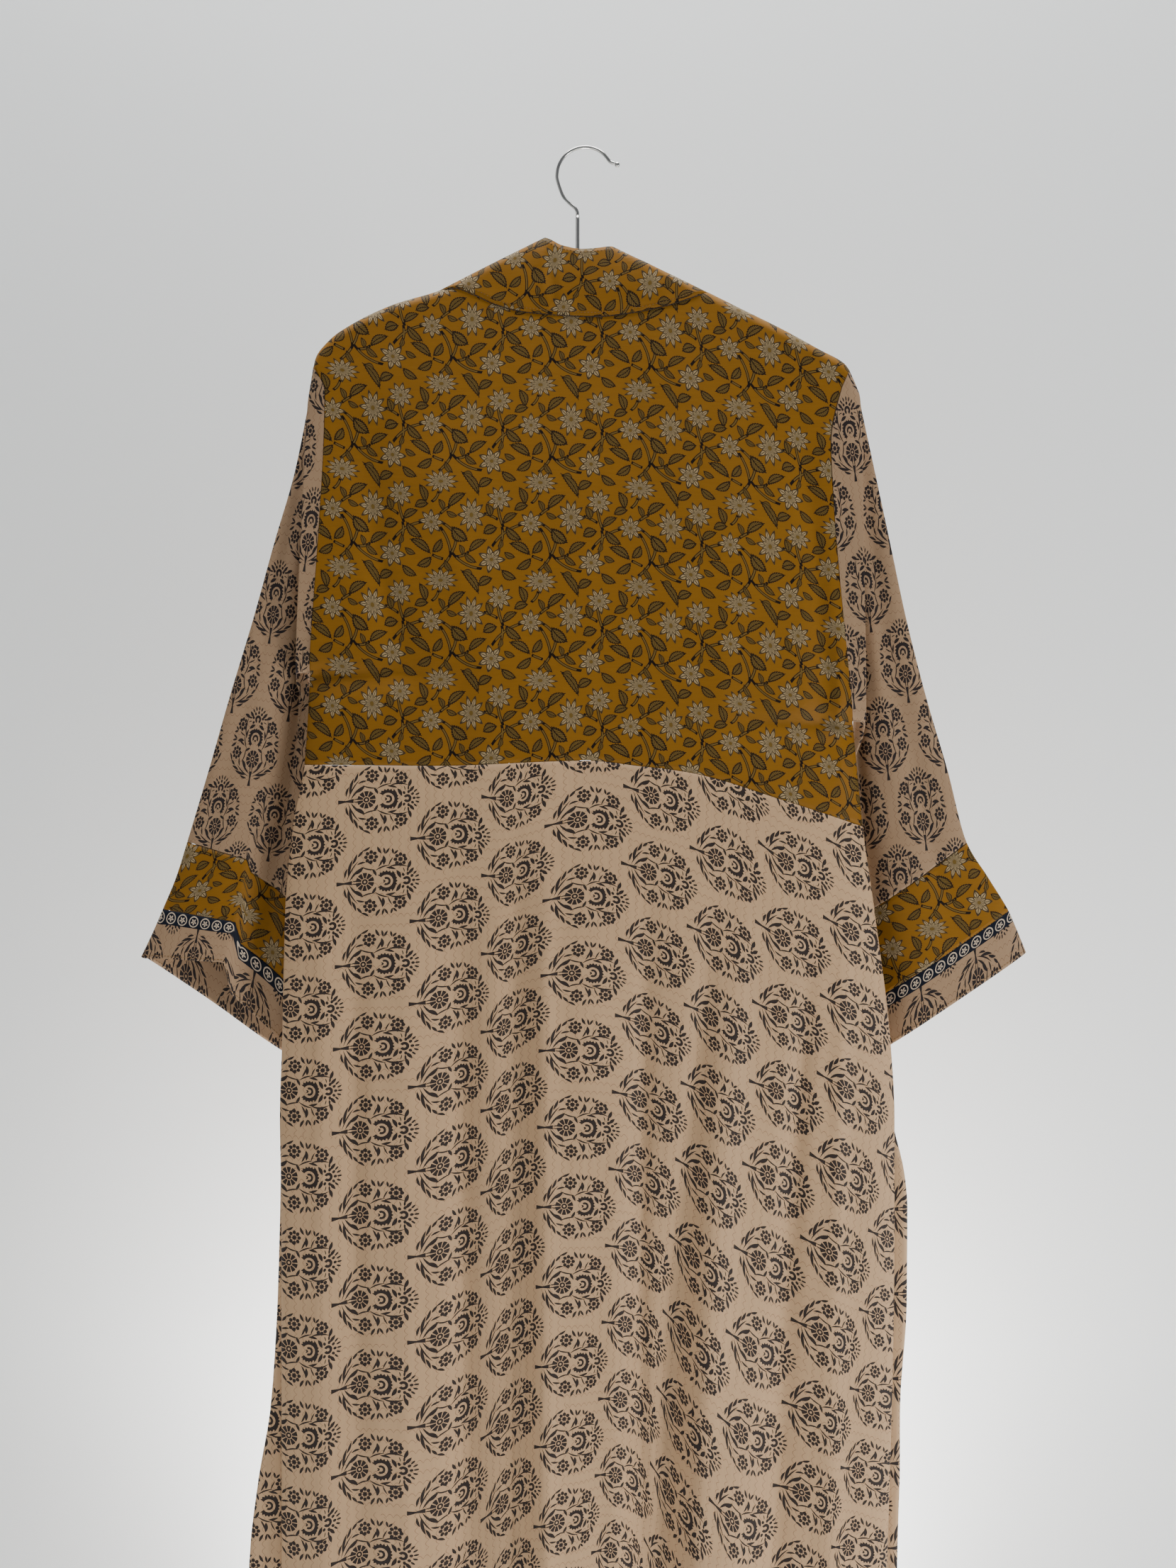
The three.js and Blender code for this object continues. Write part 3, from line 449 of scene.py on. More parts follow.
COLLAR_CREASES = table(
    "x0 z0 x1 z1 bow half rise",
    (-33, -88, -24, -158, 3, 4.5, -2.4),
    (-42, -88, -36, -150, -2, 6, 1.6),
    (52, -96, 66, -140, 2, 6, 0.9),
    (-12, -150, 6, -100, 1, 5, -0.7),
)


YOKE_ROWS = (-200, -202, -206.5, -215, -232, -262, -300, -345, -390, -430, -452, -466, -475)
YOKE_TOP = {"left": -200.0, "right": -203.0}
YOKE_SPAN = 358.5
YOKE_FOOT = {"left": -558.5, "right": -615.0}


def yoke_edge(side, row):
    """The edge of the yoke that the sleeve is sewn on, x and z: heights of its rows, stretched
    between the shoulder's tip and the waist seam."""
    z = np.interp(row, np.arange(len(YOKE_ROWS)), YOKE_ROWS)
    foot = waist_z(edge_x[side](np.array(YOKE_FOOT[side])))
    z = lerp(YOKE_TOP[side], foot, (YOKE_ROWS[0] - z) / YOKE_SPAN)
    return edge_x[side](z), z


def sleeve_point(side, phi, row):
    """A ring of the sleeve is a flattened oval between the outer fold and the inner seam. The
    left one's back layer is pushed up and out at its fold. The first ring eases into the yoke's
    edge."""
    rows = LEFT_SLEEVE if side == "left" else RIGHT_SLEEVE
    at = {name: curve(rows, "row", name)(row) for name in SLEEVE_NAMES.split()[1:]}
    share = (1 - np.cos(2 * np.pi * phi)) / 2
    round_ = np.sin(2 * np.pi * phi)
    half = at["half"] * np.sign(round_) * np.abs(round_) ** 0.6
    on_back = smooth(round_ / 0.5)
    before = share / SLEEVE_FOLD_AT
    after = 0.5 * (1 - share) / (1 - SLEEVE_FOLD_AT)
    over = smooth((share - SLEEVE_FOLD_AT + 0.012) / 0.024)
    lift = at["lift"] * on_back * lerp(np.minimum(before, 1), after, over)
    x = lerp(at["out_x"], at["in_x"], share)
    y = lerp(at["out_y"], at["in_y"], share) - half - lift * 0.3
    z = lerp(at["out_z"], at["in_z"], share) + lift
    turn = np.minimum(phi, 1 - phi)
    seam_x, seam_z = yoke_edge(side, 24 * turn)
    seam_y = np.where(
        phi < 0.5,
        -stand_off("back", BACK_FOLDS, seam_x, seam_z),
        stand_off("front", FRONT_FOLDS, seam_x, seam_z),
    )
    near = np.minimum(np.clip(1 - row, 0, 1), SLEEVE_REACH)
    x, y, z = lerp(x, seam_x, near), lerp(y, seam_y, near), lerp(z, seam_z, near)
    layer = np.where(phi < 0.5, -1, 1)
    settled = smooth((row - 0.6) / 1.5) * smooth(np.abs(round_) / 0.4)
    y = y + layer * settled * creases(SLEEVE_CREASES[side], share * 100, row * 100)
    return x, y, z


SLEEVE_CREASES = {
    "left": table(
        "x0 z0 x1 z1 bow half rise",
        (58, 60, 52, 1350, 3, 10, -9.0),
        (30, 80, 30, 1300, -2, 9, 1.8),
        (80, 60, 84, 1350, 2, 9, 3.6),
        (14, 200, 10, 900, 1, 6, -1.4),
    ),
    "right": table(
        "x0 z0 x1 z1 bow half rise",
        (66, 60, 68, 1350, 3, 10, -8.0),
        (40, 100, 46, 1200, -3, 12, 2.0),
        (18, 150, 22, 1000, 2, 8, -1.6),
    ),
}


# Meshes


def grid_mesh(name, across, down, surface, uv, second_uv=None):
    """A mesh on surface(u, v) in millimetres, with u across and v down. uv gives the print's
    coordinates from u, v, x, z."""
    u, v = np.meshgrid(np.linspace(0, 1, across + 1), np.linspace(0, 1, down + 1))
    x, y, z = surface(u, v)
    points = np.stack([x, y, z], -1).reshape(-1, 3) * MM
    corner = (np.arange(down)[:, None] * (across + 1) + np.arange(across)[None, :]).reshape(-1)
    faces = np.stack([corner, corner + across + 1, corner + across + 2, corner + 1], 1)
    mesh = bpy.data.meshes.new(name)
    mesh.vertices.add(len(points))
    mesh.vertices.foreach_set("co", points.astype(np.float32).reshape(-1))
    mesh.loops.add(faces.size)
    mesh.loops.foreach_set("vertex_index", faces.reshape(-1).astype(np.int32))
    mesh.polygons.add(len(faces))
    mesh.polygons.foreach_set("loop_start", np.arange(0, faces.size, 4, dtype=np.int32))
    mesh.update(calc_edges=True)
    mesh.shade_smooth()
    maps = [("print", uv)] + ([("border", second_uv)] if second_uv else [])
    for map_name, function in maps:
        layer = mesh.uv_layers.new(name=map_name)
        pair = np.stack(function(u, v, x, z), -1).reshape(-1, 2)
        layer.data.foreach_set("uv", pair[faces.reshape(-1)].astype(np.float32).reshape(-1))
    made = bpy.data.objects.new(name, mesh)
    bpy.context.scene.collection.objects.link(made)
    return made


def thicken(made, thickness):
    """Gives a sheet its thickness, half on each side of its own surface."""
    shell = made.modifiers.new("Thickness", "SOLIDIFY")
    shell.thickness = thickness
    shell.offset = 0
    return made


def solid_mesh(name, points, faces):
    """A smooth mesh from points in metres and the rows of points round each face."""
    mesh = bpy.data.meshes.new(name)
    mesh.from_pydata(np.asarray(points, float).tolist(), [], faces)
    mesh.update()
    mesh.shade_smooth()
    made = bpy.data.objects.new(name, mesh)
    bpy.context.scene.collection.objects.link(made)
    return made


def tube_mesh(name, path, radius, sides=20):
    """A round tube along a path in the XZ plane, closed at both ends: a circle square to the path
    at each of its points. radius may vary along it."""
    path = np.asarray(path, float)
    along = np.gradient(path, axis=0)
    along /= np.linalg.norm(along, axis=1)[:, None]
    side = np.array([0.0, 1.0, 0.0])
    up = np.cross(side, along)
    angle = np.linspace(0, 2 * np.pi, sides, endpoint=False)
    ring = np.cos(angle)[None, :, None] * side + np.sin(angle)[None, :, None] * up[:, None, :]
    points = path[:, None, :] + ring * np.broadcast_to(radius, len(path))[:, None, None]
    last = (len(path) - 1) * sides
    start, i = np.meshgrid(np.arange(0, last, sides), np.arange(sides), indexing="ij")
    j = (i + 1) % sides
    quads = np.stack([start + i, start + j, start + sides + j, start + sides + i], -1)
    faces = quads.reshape(-1, 4).tolist()
    faces.append(list(range(sides))[::-1])
    faces.append(list(range(last, last + sides)))
    return solid_mesh(name, points.reshape(-1, 3) * MM, faces)


def stitch_row(name, path, length=STITCH_LENGTH, half=STITCH_HALF, material="thread"):
    """Small raised stitches along a path of points in millimetres: each is a six-sided spindle
    between two points of the path, full from a fifth to four fifths of its length."""
    path = np.asarray(path, float)
    run = np.concatenate([[0], np.cumsum(np.linalg.norm(np.diff(path, axis=0), axis=1))])
    starts = np.arange(1.0, run[-1] - length, STITCH_PITCH)
    first = np.stack([np.interp(starts, run, axis) for axis in path.T], -1)
    last = np.stack([np.interp(starts + length, run, axis) for axis in path.T], -1)
    along = (last - first) / np.linalg.norm(last - first, axis=1)[:, None]
    side = np.cross(along, (0.0, 1.0, 0.0))
    side /= np.linalg.norm(side, axis=1)[:, None]
    out = np.cross(side, along)
    turn = (np.arange(STITCH_SIDES) * 2 * np.pi / STITCH_SIDES)[None, :, None]
    ring = half * (np.cos(turn) * side[:, None] + np.sin(turn) * out[:, None])
    low = lerp(first, last, 0.2)[:, None] + ring
    high = lerp(first, last, 0.8)[:, None] + ring
    points = np.concatenate([first[:, None], low, high, last[:, None]], 1)
    i = np.arange(1, STITCH_SIDES + 1)
    j = i % STITCH_SIDES + 1
    start_fan = np.stack([0 * i, i, j], -1)
    wall = np.stack([i, i + STITCH_SIDES, j + STITCH_SIDES, j], -1)
    end_fan = np.stack([0 * i + points.shape[1] - 1, j + STITCH_SIDES, i + STITCH_SIDES], -1)
    base = np.arange(0, points.shape[1] * len(starts), points.shape[1])[:, None, None]
    faces = []
    for part in (start_fan, wall, end_fan):
        faces += (base + part).reshape(-1, part.shape[1]).tolist()
    made = solid_mesh(name, points.reshape(-1, 3) * MM, faces)
    made.data.materials.append(material_for(material))
    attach(made, "root")
    return made


# Print coordinates


TREE_COLUMNS = table(
    "x_top x_mid x_low t_top t_mid t_low squeeze tilt",
    (-322, -322, -322, -2.93, 0.60, 5.36, 1.0, 0),
    (-250, -255, -255, -2.93, 0.60, 5.36, 1.0, 0),
    (-184, -189.5, -190, -2.86, 0.66, 5.56, 0.98, 4),
    (-121, -118.1, -118, -2.80, 0.79, 5.67, 1.07, 22),
    (-61, -65.7, -66, -2.83, 1.05, 6.26, 1.45, 40),
    (5.7, -5, -15, -2.61, 1.18, 6.53, 1.09, 0),
    (69, 58.5, 33, -2.85, 0.94, 6.56, 1.24, -33),
    (128.6, 119.2, 82, -3.14, 0.47, 5.62, 1.24, -38),
    (191.8, 180.3, 140, -3.73, 0.07, 4.91, 1.26, -27),
    (254, 244.2, 203, -4.10, -0.45, 4.70, 1.09, -29),
    (322, 300, 249, -4.64, -0.93, 4.51, 1.0, -25),
    (388, 365, 312, -5.10, -1.40, 4.20, 1.0, -15),
)
LEVELS = (-1230.0, -860.0, -600.0)


def back_tree_uv(u, v, x, z):
    """The tree print of the back: a smooth curve through the print's columns, each with the place
    of its trees at three heights, its squeeze in a fold, and the tilt of its trees."""
    rows = TREE_COLUMNS
    count = len(rows["tilt"])

    def level(names):
        return np.stack(
            [
                np.interp(z, LEVELS, [rows[name][i] for name in names])
                + np.minimum(z + 1230, 0) * (rows[names[0]][i] - rows[names[1]][i]) / -370
                for i in range(count)
            ],
            -1,
        )

    at = level(("x_low", "x_mid", "x_top"))
    phase = level(("t_low", "t_mid", "t_top")) - (np.maximum(z - LEVELS[-1], 0) / 71)[..., None]
    i = np.clip((x[..., None] >= at).sum(-1) - 1, 0, count - 2)

    def pick(values, k):
        return np.take_along_axis(values, k[..., None], -1)[..., 0]

    width = pick(at, i + 1) - pick(at, i)
    t = (x - pick(at, i)) / width
    squeeze = rows["squeeze"] / TREE_PITCH[0]
    column = hermite(t, i, i + 1.0, squeeze[i] * width, squeeze[i + 1] * width)
    strength = np.interp(z, LEVELS, (1.0, 1.0, 0.35))
    slope = np.tan(np.radians(rows["tilt"])) / 72
    start = slope[i] * width * strength
    end = slope[i + 1] * width * strength
    return column, hermite(t, pick(phase, i), pick(phase, i + 1), start, end)


def front_tree_uv(u, v, x, z):
    """The tree print of the fronts, upright: x and z over the print's pitch."""
    return x / TREE_PITCH[0] + 0.4, -z / TREE_PITCH[1]


def vine_uv(u, v, x, z):
    """The vine print of the yokes: x and z over the print's pitch, with rows that sag to the
    right as the cloth does."""
    sag = np.interp(x, (-250, -134, -44, 44, 134, 240), (17, 0, -1, -5.3, -21, -46))
    return (x - 40.6) / 89.3, (z - sag + 253.2) / 88.9


def band_vine_uv(name):
    """The vine print of the neckband: level and a little turned on the back of the neck, and
    running along the band on the fronts."""

    def uv(u, v, x, z):
        if name == "back":
            along, up = 0.97 * x - 0.24 * z, 0.24 * x + 0.97 * z
            return along / VINE_PITCH + 0.42, up / VINE_PITCH + 0.3
        return 0.35 - z / VINE_PITCH, 0.5 + u * 0.75

    return uv


SLEEVE_GRAIN = {"left": (-0.139, -0.990), "right": (0.122, -0.9925)}
SLEEVE_ORIGIN = {"left": (-250.0, -222.0), "right": (248.0, -222.0)}
SLEEVE_TREE_START = {"left": 191.2, "right": 110.0}
SLEEVE_TREE_ASIDE = {"left": -5.7, "right": 12.0}
SLEEVE_TREE_PITCH = {"left": 50.0, "right": 52.0}


def sleeve_plan(side, u, v, rows, seen_x, seen_z):
    """Distances down the sleeve's grain and out from its fold: from the surface itself near the
    armhole, and from the flat sleeve further down. The front layer is mirrored."""
    row = lerp(rows[0], rows[1], v)
    rings = LEFT_SLEEVE if side == "left" else RIGHT_SLEEVE
    at = {name: curve(rings, "row", name)(row) for name in ("out_x", "out_z", "in_x", "in_z")}
    share = (1 - np.cos(2 * np.pi * u)) / 2
    grain = SLEEVE_GRAIN[side]
    origin = SLEEVE_ORIGIN[side]
    low = smooth((row - 3.5) / 2)
    x = lerp(seen_x, lerp(at["out_x"], at["in_x"], share), low) - origin[0]
    z = lerp(seen_z, lerp(at["out_z"], at["in_z"], share), low) - origin[1]
    down = x * grain[0] + z * grain[1]
    across = -x * grain[1] + z * grain[0]
    return down, np.where(u < 0.5, across, -20 - across)


def sleeve_tree_uv(side, rows):
    """The tree print of a sleeve, with crowns up the arm: distances over the print's pitch."""

    def uv(u, v, x, z):
        down, across = sleeve_plan(side, u, v, rows, x, z)
        aside = (across - SLEEVE_TREE_ASIDE[side]) / SLEEVE_TREE_PITCH[side]
        return (SLEEVE_TREE_START[side] - down) / 67.8, aside

    return uv


def sleeve_vine_uv(side, rows):
    """The vine print of a sleeve band, along the arm: distances over the print's pitch."""

    def uv(u, v, x, z):
        down, across = sleeve_plan(side, u, v, rows, x, z)
        return across / VINE_PITCH, -down / VINE_PITCH

    return uv


CUFF_TURN = {"left": 0.55, "right": 0.15}
CUFF_TREE_PITCH = 52.0


def cuff_tree_uv(side, rows):
    """The tree print of a cuff, hanging from the border: distance down the cuff and round it over
    the print's pitch."""

    def uv(u, v, x, z):
        _, across = sleeve_plan(side, u, v, rows, x, z)
        down = v * CUFF_DEPTH - BORDER_DEPTH - 37
        return down / TREE_PITCH[0], CUFF_TURN[side] + across / CUFF_TREE_PITCH

    return uv


def cuff_border_uv(side, rows):
    """The border of a cuff: one ring of it round the cuff and down it for each whole number."""

    def uv(u, v, x, z):
        _, across = sleeve_plan(side, u, v, rows, x, z)
        return across / 11.6, v * CUFF_DEPTH / BORDER_DEPTH

    return uv


# Shader graphs


class Graph:
    """Builds a shader graph from short calls. A value is a socket or a plain constant."""

    def __init__(self, tree):
        self.tree = tree

    def node(self, kind, *values, **settings):
        made = self.tree.nodes.new(kind)
        for name, value in settings.items():
            setattr(made, name, value)
        for socket, value in zip(made.inputs, values):
            self.put(socket, value)
        return made

    def put(self, socket, value):
        if isinstance(value, bpy.types.NodeSocket):
            self.tree.links.new(value, socket)
        elif value is not None:
            socket.default_value = value

    def math(self, operation, *values):
        return self.node("ShaderNodeMath", *values, operation=operation).outputs[0]

    def vector(self, operation, *values):
        made = self.node("ShaderNodeVectorMath", *values, operation=operation)
        scalar = operation in ("DOT_PRODUCT", "LENGTH", "DISTANCE")
        return made.outputs["Value" if scalar else "Vector"]

    def least(self, values):
        """The smallest of several values."""
        best = values[0]
        for value in values[1:]:
            best = self.math("MINIMUM", best, value)
        return best

    def choose(self, factor, first, second):
        """Vector first where factor is 0 and second where it is 1."""
        made = self.tree.nodes.new("ShaderNodeMix")
        made.data_type = "VECTOR"
        self.put(made.inputs[0], factor)
        self.put(made.inputs[4], first)
        self.put(made.inputs[5], second)
        return made.outputs[1]

    def paint(self, factor, base, colour):
        """Colour laid over base where factor is 1."""
        made = self.tree.nodes.new("ShaderNodeMix")
        made.data_type = "RGBA"
        self.put(made.inputs[0], factor)
        self.put(made.inputs[6], base)
        self.put(made.inputs[7], colour)
        return made.outputs[2]

    def stroke(self, point, x0, y0, x1, y1, width, bend=0.0, repeat=False):
        """Below 1 inside a leaf-shaped stroke from one point to another: the square of the share
        along it, added to the share across it. point's third part is 1. bend bows the stroke, as a
        share of its half length. Returns the score, along, across and the square of along."""
        run = np.array([x1 - x0, y1 - y0])
        length = np.hypot(*run)
        unit = run / length
        centre = np.array([x0 + x1, y0 + y1]) / 2
        half = length / 2
        if repeat:
            high = (centre[0] + 0.5, centre[1] + 0.5, 2)
            low = (centre[0] - 0.5, centre[1] - 0.5, 0)
            point = self.vector("WRAP", point, high, low)
        along = self.dot(point, unit / half, centre)
        across = self.dot(point, np.array([-unit[1], unit[0]]) / width, centre)
        square = self.math("MULTIPLY", along, along)
        if bend:
            slack = bend * half / width
            across = self.math("ADD", self.math("MULTIPLY_ADD", square, slack, across), -slack / 2)
        score = self.math("ADD", square, self.math("ABSOLUTE", across))
        return score, along, across, square

    def dot(self, point, direction, centre):
        """The distance of point from centre along a direction, for a point whose third part is 1."""
        offset = -float(np.dot(direction, centre))
        return self.vector("DOT_PRODUCT", point, (direction[0], direction[1], offset))

    def polar(self, point, centre, count, start=0.0):
        """Radius, and the angle within one of count equal sectors."""
        near = self.vector("SUBTRACT", point, (centre[0], centre[1], 1))
        split = self.node("ShaderNodeSeparateXYZ", near)
        radius = self.vector("LENGTH", near)
        angle = self.math("ARCTAN2", split.outputs[1], split.outputs[0])
        half = math.pi / count
        folded = self.math("WRAP", angle, half + start, -half + start)
        if start:
            folded = self.math("SUBTRACT", folded, start)
        return radius, folded, angle

    def oval(self, radius, folded, at, half_long, half_wide):
        """Below 1 inside an oval at this radius in each sector: the sum of two squares."""
        out = self.math("MULTIPLY", self.math("SUBTRACT", radius, at), 1 / half_long)
        aside = self.math("MULTIPLY", self.math("MULTIPLY", radius, folded), 1 / half_wide)
        return self.math("ADD", self.math("MULTIPLY", out, out), self.math("MULTIPLY", aside, aside))

    def ring(self, radius, at, half):
        """Below 1 inside a ring: the distance from its radius over its half width."""
        distance = self.math("ABSOLUTE", self.math("SUBTRACT", radius, at))
        return self.math("MULTIPLY", distance, 1 / half)

    def inside(self, score, level=1.0):
        """1 where the score is below the level, otherwise 0."""
        return self.math("LESS_THAN", score, level)


def linear(red, green, blue):
    """A linear colour with full alpha from values of 0 to 255 as a screen shows them: straight
    near black, and a power of 2.4 above it."""
    shown = np.array([red, green, blue]) / 255
    light = np.where(shown < 0.0404, shown / 12.92, ((shown + 0.055) / 1.055) ** 2.4)
    return (*light.tolist(), 1.0)


# The strokes of one half of a tree in millimetres: from x, y to x, y, half width and bend
TREE_STROKES = (
    (-31.0, 5.0, -28.4, 14.0, 1.0, 0.15),
    (-27.6, 6.0, -24.0, 22.0, 1.25, 0.12),
    (-23.6, 17.0, -19.4, 26.6, 1.1, -0.1),
    (-18.8, 23.6, -14.0, 29.0, 1.1, 0.0),
    (-29.4, 2.2, -18.4, 20.6, 0.6, 0.12),
    (-19.6, 16.6, -11.4, 18.6, 0.85, 0.15),
    (-26.6, 2.2, -14.2, 14.4, 0.95, 0.14),
    (-15.8, 13.9, -2.4, 10.4, 0.65, -0.16),
    (-3.2, 10.2, 10.6, 15.4, 0.65, 0.16),
    (9.0, 14.4, 13.0, 22.4, 0.6, 0.1),
    (-21.6, 7.2, -13.0, 13.6, 1.15, -0.16),
    (-5.2, 11.6, -1.4, 5.2, 1.15, 0.1),
    (4.6, 24.0, 5.0, 15.2, 1.5, 0.12),
    (0.2, 13.2, 4.2, 21.4, 0.8, -0.12),
    (7.0, 13.0, 16.0, 11.0, 1.0, 0.12),
    (8.8, 13.8, 26.8, 13.8, 0.85, 0.24),
    (16.6, 10.0, 20.6, 2.6, 1.5, 0.1),
    (12.6, 9.6, 16.0, 3.2, 0.9, -0.1),
    (-14.6, 28.6, -7.4, 32.2, 1.0, -0.14),
    (-1.4, 32.4, 2.4, 25.8, 1.15, -0.1),
    (4.4, 31.4, 5.8, 25.4, 0.95, 0.0),
    (9.6, 30.8, 6.2, 25.4, 0.95, 0.0),
    (12.2, 30.4, 13.4, 25.2, 0.95, 0.0),
    (17.6, 28.6, 13.8, 25.0, 0.95, 0.0),
    (29.6, 18.6, 26.6, 10.8, 1.4, 0.1),
    (32.4, 11.6, 27.4, 6.0, 1.35, 0.0),
    (-24.4, 1.0, -16.8, 1.8, 0.5, 0.0),
    (-10.6, 19.6, -6.0, 15.8, 0.7, 0.1),
    (22.0, 24.6, 25.6, 19.6, 1.0, 0.0),
)


def tree_place(graph, coordinates):
    """The place in the nearest tree, in millimetres along it from trunk to crown and out from its
    middle line. Every second column is staggered by half a pitch."""
    scale = (*TREE_PITCH, 0)
    first = graph.vector("WRAP", coordinates, (1, 0.5, 1), (-1, -0.5, -1))
    moved = graph.vector("SUBTRACT", coordinates, (1, 0.5, 0))
    second = graph.vector("WRAP", moved, (1, 0.5, 1), (-1, -0.5, -1))
    first = graph.vector("MULTIPLY", first, scale)
    second = graph.vector("MULTIPLY", second, scale)
    nearer = graph.math("LESS_THAN", graph.vector("LENGTH", second), graph.vector("LENGTH", first))
    split = graph.node("ShaderNodeSeparateXYZ", graph.choose(nearer, first, second))
    return split.outputs[0], graph.math("ABSOLUTE", split.outputs[1])


def trunk_score(graph, along, aside):
    """The trunk widens evenly away from its middle, and ends 6.8 mm to both sides of it."""
    away = graph.math("ABSOLUTE", graph.math("ADD", along, 31.0))
    wide = graph.math("DIVIDE", aside, graph.math("MULTIPLY_ADD", away, 0.16, 0.75))
    return graph.math("MAXIMUM", wide, graph.math("MULTIPLY", away, 1 / 6.8))


def rosette_scores(graph, point):
    """Ten wedges round a small ring."""
    radius, folded, _ = graph.polar(point, (-11.9, 0), 10, math.pi / 10)
    narrow = graph.math("MULTIPLY", graph.math("ABSOLUTE", folded), 1 / 0.235)
    wedge = graph.math("MAXIMUM", graph.ring(radius, 5.9, 2.4), narrow)
    return [wedge, graph.ring(radius, 1.9, 0.75)]


def crescent_scores(graph, point):
    """A toothed crescent open towards the trunk, with an open ring and a short stroke in it."""
    radius, folded, angle = graph.polar(point, (7.5, 0), 20)
    tooth = graph.math("MULTIPLY_ADD", graph.math("ABSOLUTE", folded), -9.0, 9.6)
    outer = graph.math("DIVIDE", radius, tooth)
    burst = graph.math("MAXIMUM", outer, graph.math("DIVIDE", 6.3, radius))
    crescent = graph.math("MAXIMUM", burst, graph.math("MULTIPLY", angle, 1 / 2.35))
    open_side = graph.math("MULTIPLY", angle, 1 / 2.0)
    ring = graph.math("MAXIMUM", graph.ring(radius, 2.9, 0.95), open_side)
    return [crescent, ring, graph.stroke(point, 4.4, 1.2, 6.8, 0.0, 0.6)[0]]


def crown_scores(graph, point):
    """A ring, ovals round it and short rays round those, all open towards the trunk."""
    radius, folded, angle = graph.polar(point, (25.8, 0), 9)
    open_side = graph.math("MULTIPLY", angle, 1 / 2.5)
    ring = graph.math("MAXIMUM", graph.ring(radius, 2.7, 1.15), open_side)
    petals = graph.math("MAXIMUM", graph.oval(radius, folded, 6.5, 1.5, 1.2), open_side)
    radius, folded, angle = graph.polar(point, (25.8, 0), 17)
    rays = graph.oval(radius, folded, 10.4, 2.0, 0.8)
    rays = graph.math("MAXIMUM", rays, graph.math("MULTIPLY", angle, 1 / 1.75))
    return [ring, petals, rays]


def blossom_scores(graph, point, along):
    """Two blossoms on each side of the tree: eight ovals round a small star."""
    farther = graph.math("GREATER_THAN", along, 6.6)
    middle = graph.choose(farther, (-6.7, 22.9, 0), (19.9, 20.0, 0))
    near = graph.vector("SUBTRACT", point, middle)
    radius, folded, _ = graph.polar(near, (0, 0), 8)
    star = graph.math("MULTIPLY_ADD", graph.math("ABSOLUTE", folded), -2.6, 2.6)
    return [graph.oval(radius, folded, 4.7, 1.65, 1.6), graph.math("DIVIDE", radius, star)]


def tree_print(graph, coordinates):
    """1 where a tree is printed. Each tree lies along the first coordinate."""
    along, aside = tree_place(graph, coordinates)
    point = graph.node("ShaderNodeCombineXYZ", along, aside, 1.0).outputs[0]
    scores = [graph.stroke(point, *row)[0] for row in TREE_STROKES]
    scores.append(trunk_score(graph, along, aside))
    scores += rosette_scores(graph, point)
    scores += crescent_scores(graph, point)
    scores += crown_scores(graph, point)
    scores += blossom_scores(graph, point, along)
    return graph.inside(graph.least(scores), 1.06)


def scallops(graph, coordinates, swap):
    """1 on fine wavy lines, a sine folded to one side. They run down the cloth, or across it where
    swap is true."""
    split = graph.node("ShaderNodeSeparateXYZ", coordinates)
    one, two = (1, 0) if swap else (0, 1)
    turn = graph.math("MULTIPLY", split.outputs[two], 36.0)
    wave = graph.math("ABSOLUTE", graph.math("SINE", turn))
    lines = graph.math("MULTIPLY_ADD", wave, 0.32, graph.math("MULTIPLY", split.outputs[one], 8.0))
    part = graph.math("FRACT", lines)
    return graph.inside(graph.math("ABSOLUTE", graph.math("SUBTRACT", part, 0.5)), 0.028)


# The vine print repeats in both directions after 1. Flowers: centre, half sizes and petals
VINE_FLOWERS = (
    ((0.0, 0.0), (0.122, 0.122), 8),
    ((0.404, 0.080), (0.134, 0.172), 10),
    ((0.605, 0.630), (0.132, 0.132), 7),
    ((0.095, 0.417), (0.168, 0.118), 12),
    ((0.686, 0.247), (0.128, 0.128), 9),
)
# Leaves: from x, y to x, y and width
VINE_LEAVES = (
    (0.61, 0.45, 0.47, 0.37, 0.055), (0.70, 0.52, 0.85, 0.43, 0.05), (0.16, 0.16, 0.34, 0.31, 0.052),
    (0.13, 0.12, 0.08, 0.24, 0.035), (0.15, 0.11, 0.26, 0.06, 0.035), (0.95, 0.19, 0.89, 0.37, 0.05),
    (0.97, 0.19, 0.83, 0.14, 0.05), (0.31, 0.53, 0.49, 0.29, 0.05), (0.32, 0.51, 0.42, 0.48, 0.035),
    (0.60, 0.06, 0.56, 0.20, 0.045), (0.71, 0.0, 0.86, 0.11, 0.045), (0.66, -0.04, 0.52, -0.10, 0.06),
    (0.74, -0.04, 0.90, -0.18, 0.055), (0.20, -0.05, 0.36, -0.19, 0.075), (0.71, -0.16, 0.68, -0.27, 0.028),
    (1.0, -0.31, 0.79, -0.19, 0.055), (0.02, -0.31, 0.11, -0.17, 0.05), (1.01, -0.36, 0.86, -0.47, 0.05),
    (0.32, -0.33, 0.29, -0.22, 0.032), (0.37, -0.29, 0.55, -0.16, 0.048), (0.33, -0.31, 0.45, -0.41, 0.04),
    (0.73, -0.30, 0.84, -0.35, 0.038), (0.13, -0.38, 0.21, -0.50, 0.035),
)
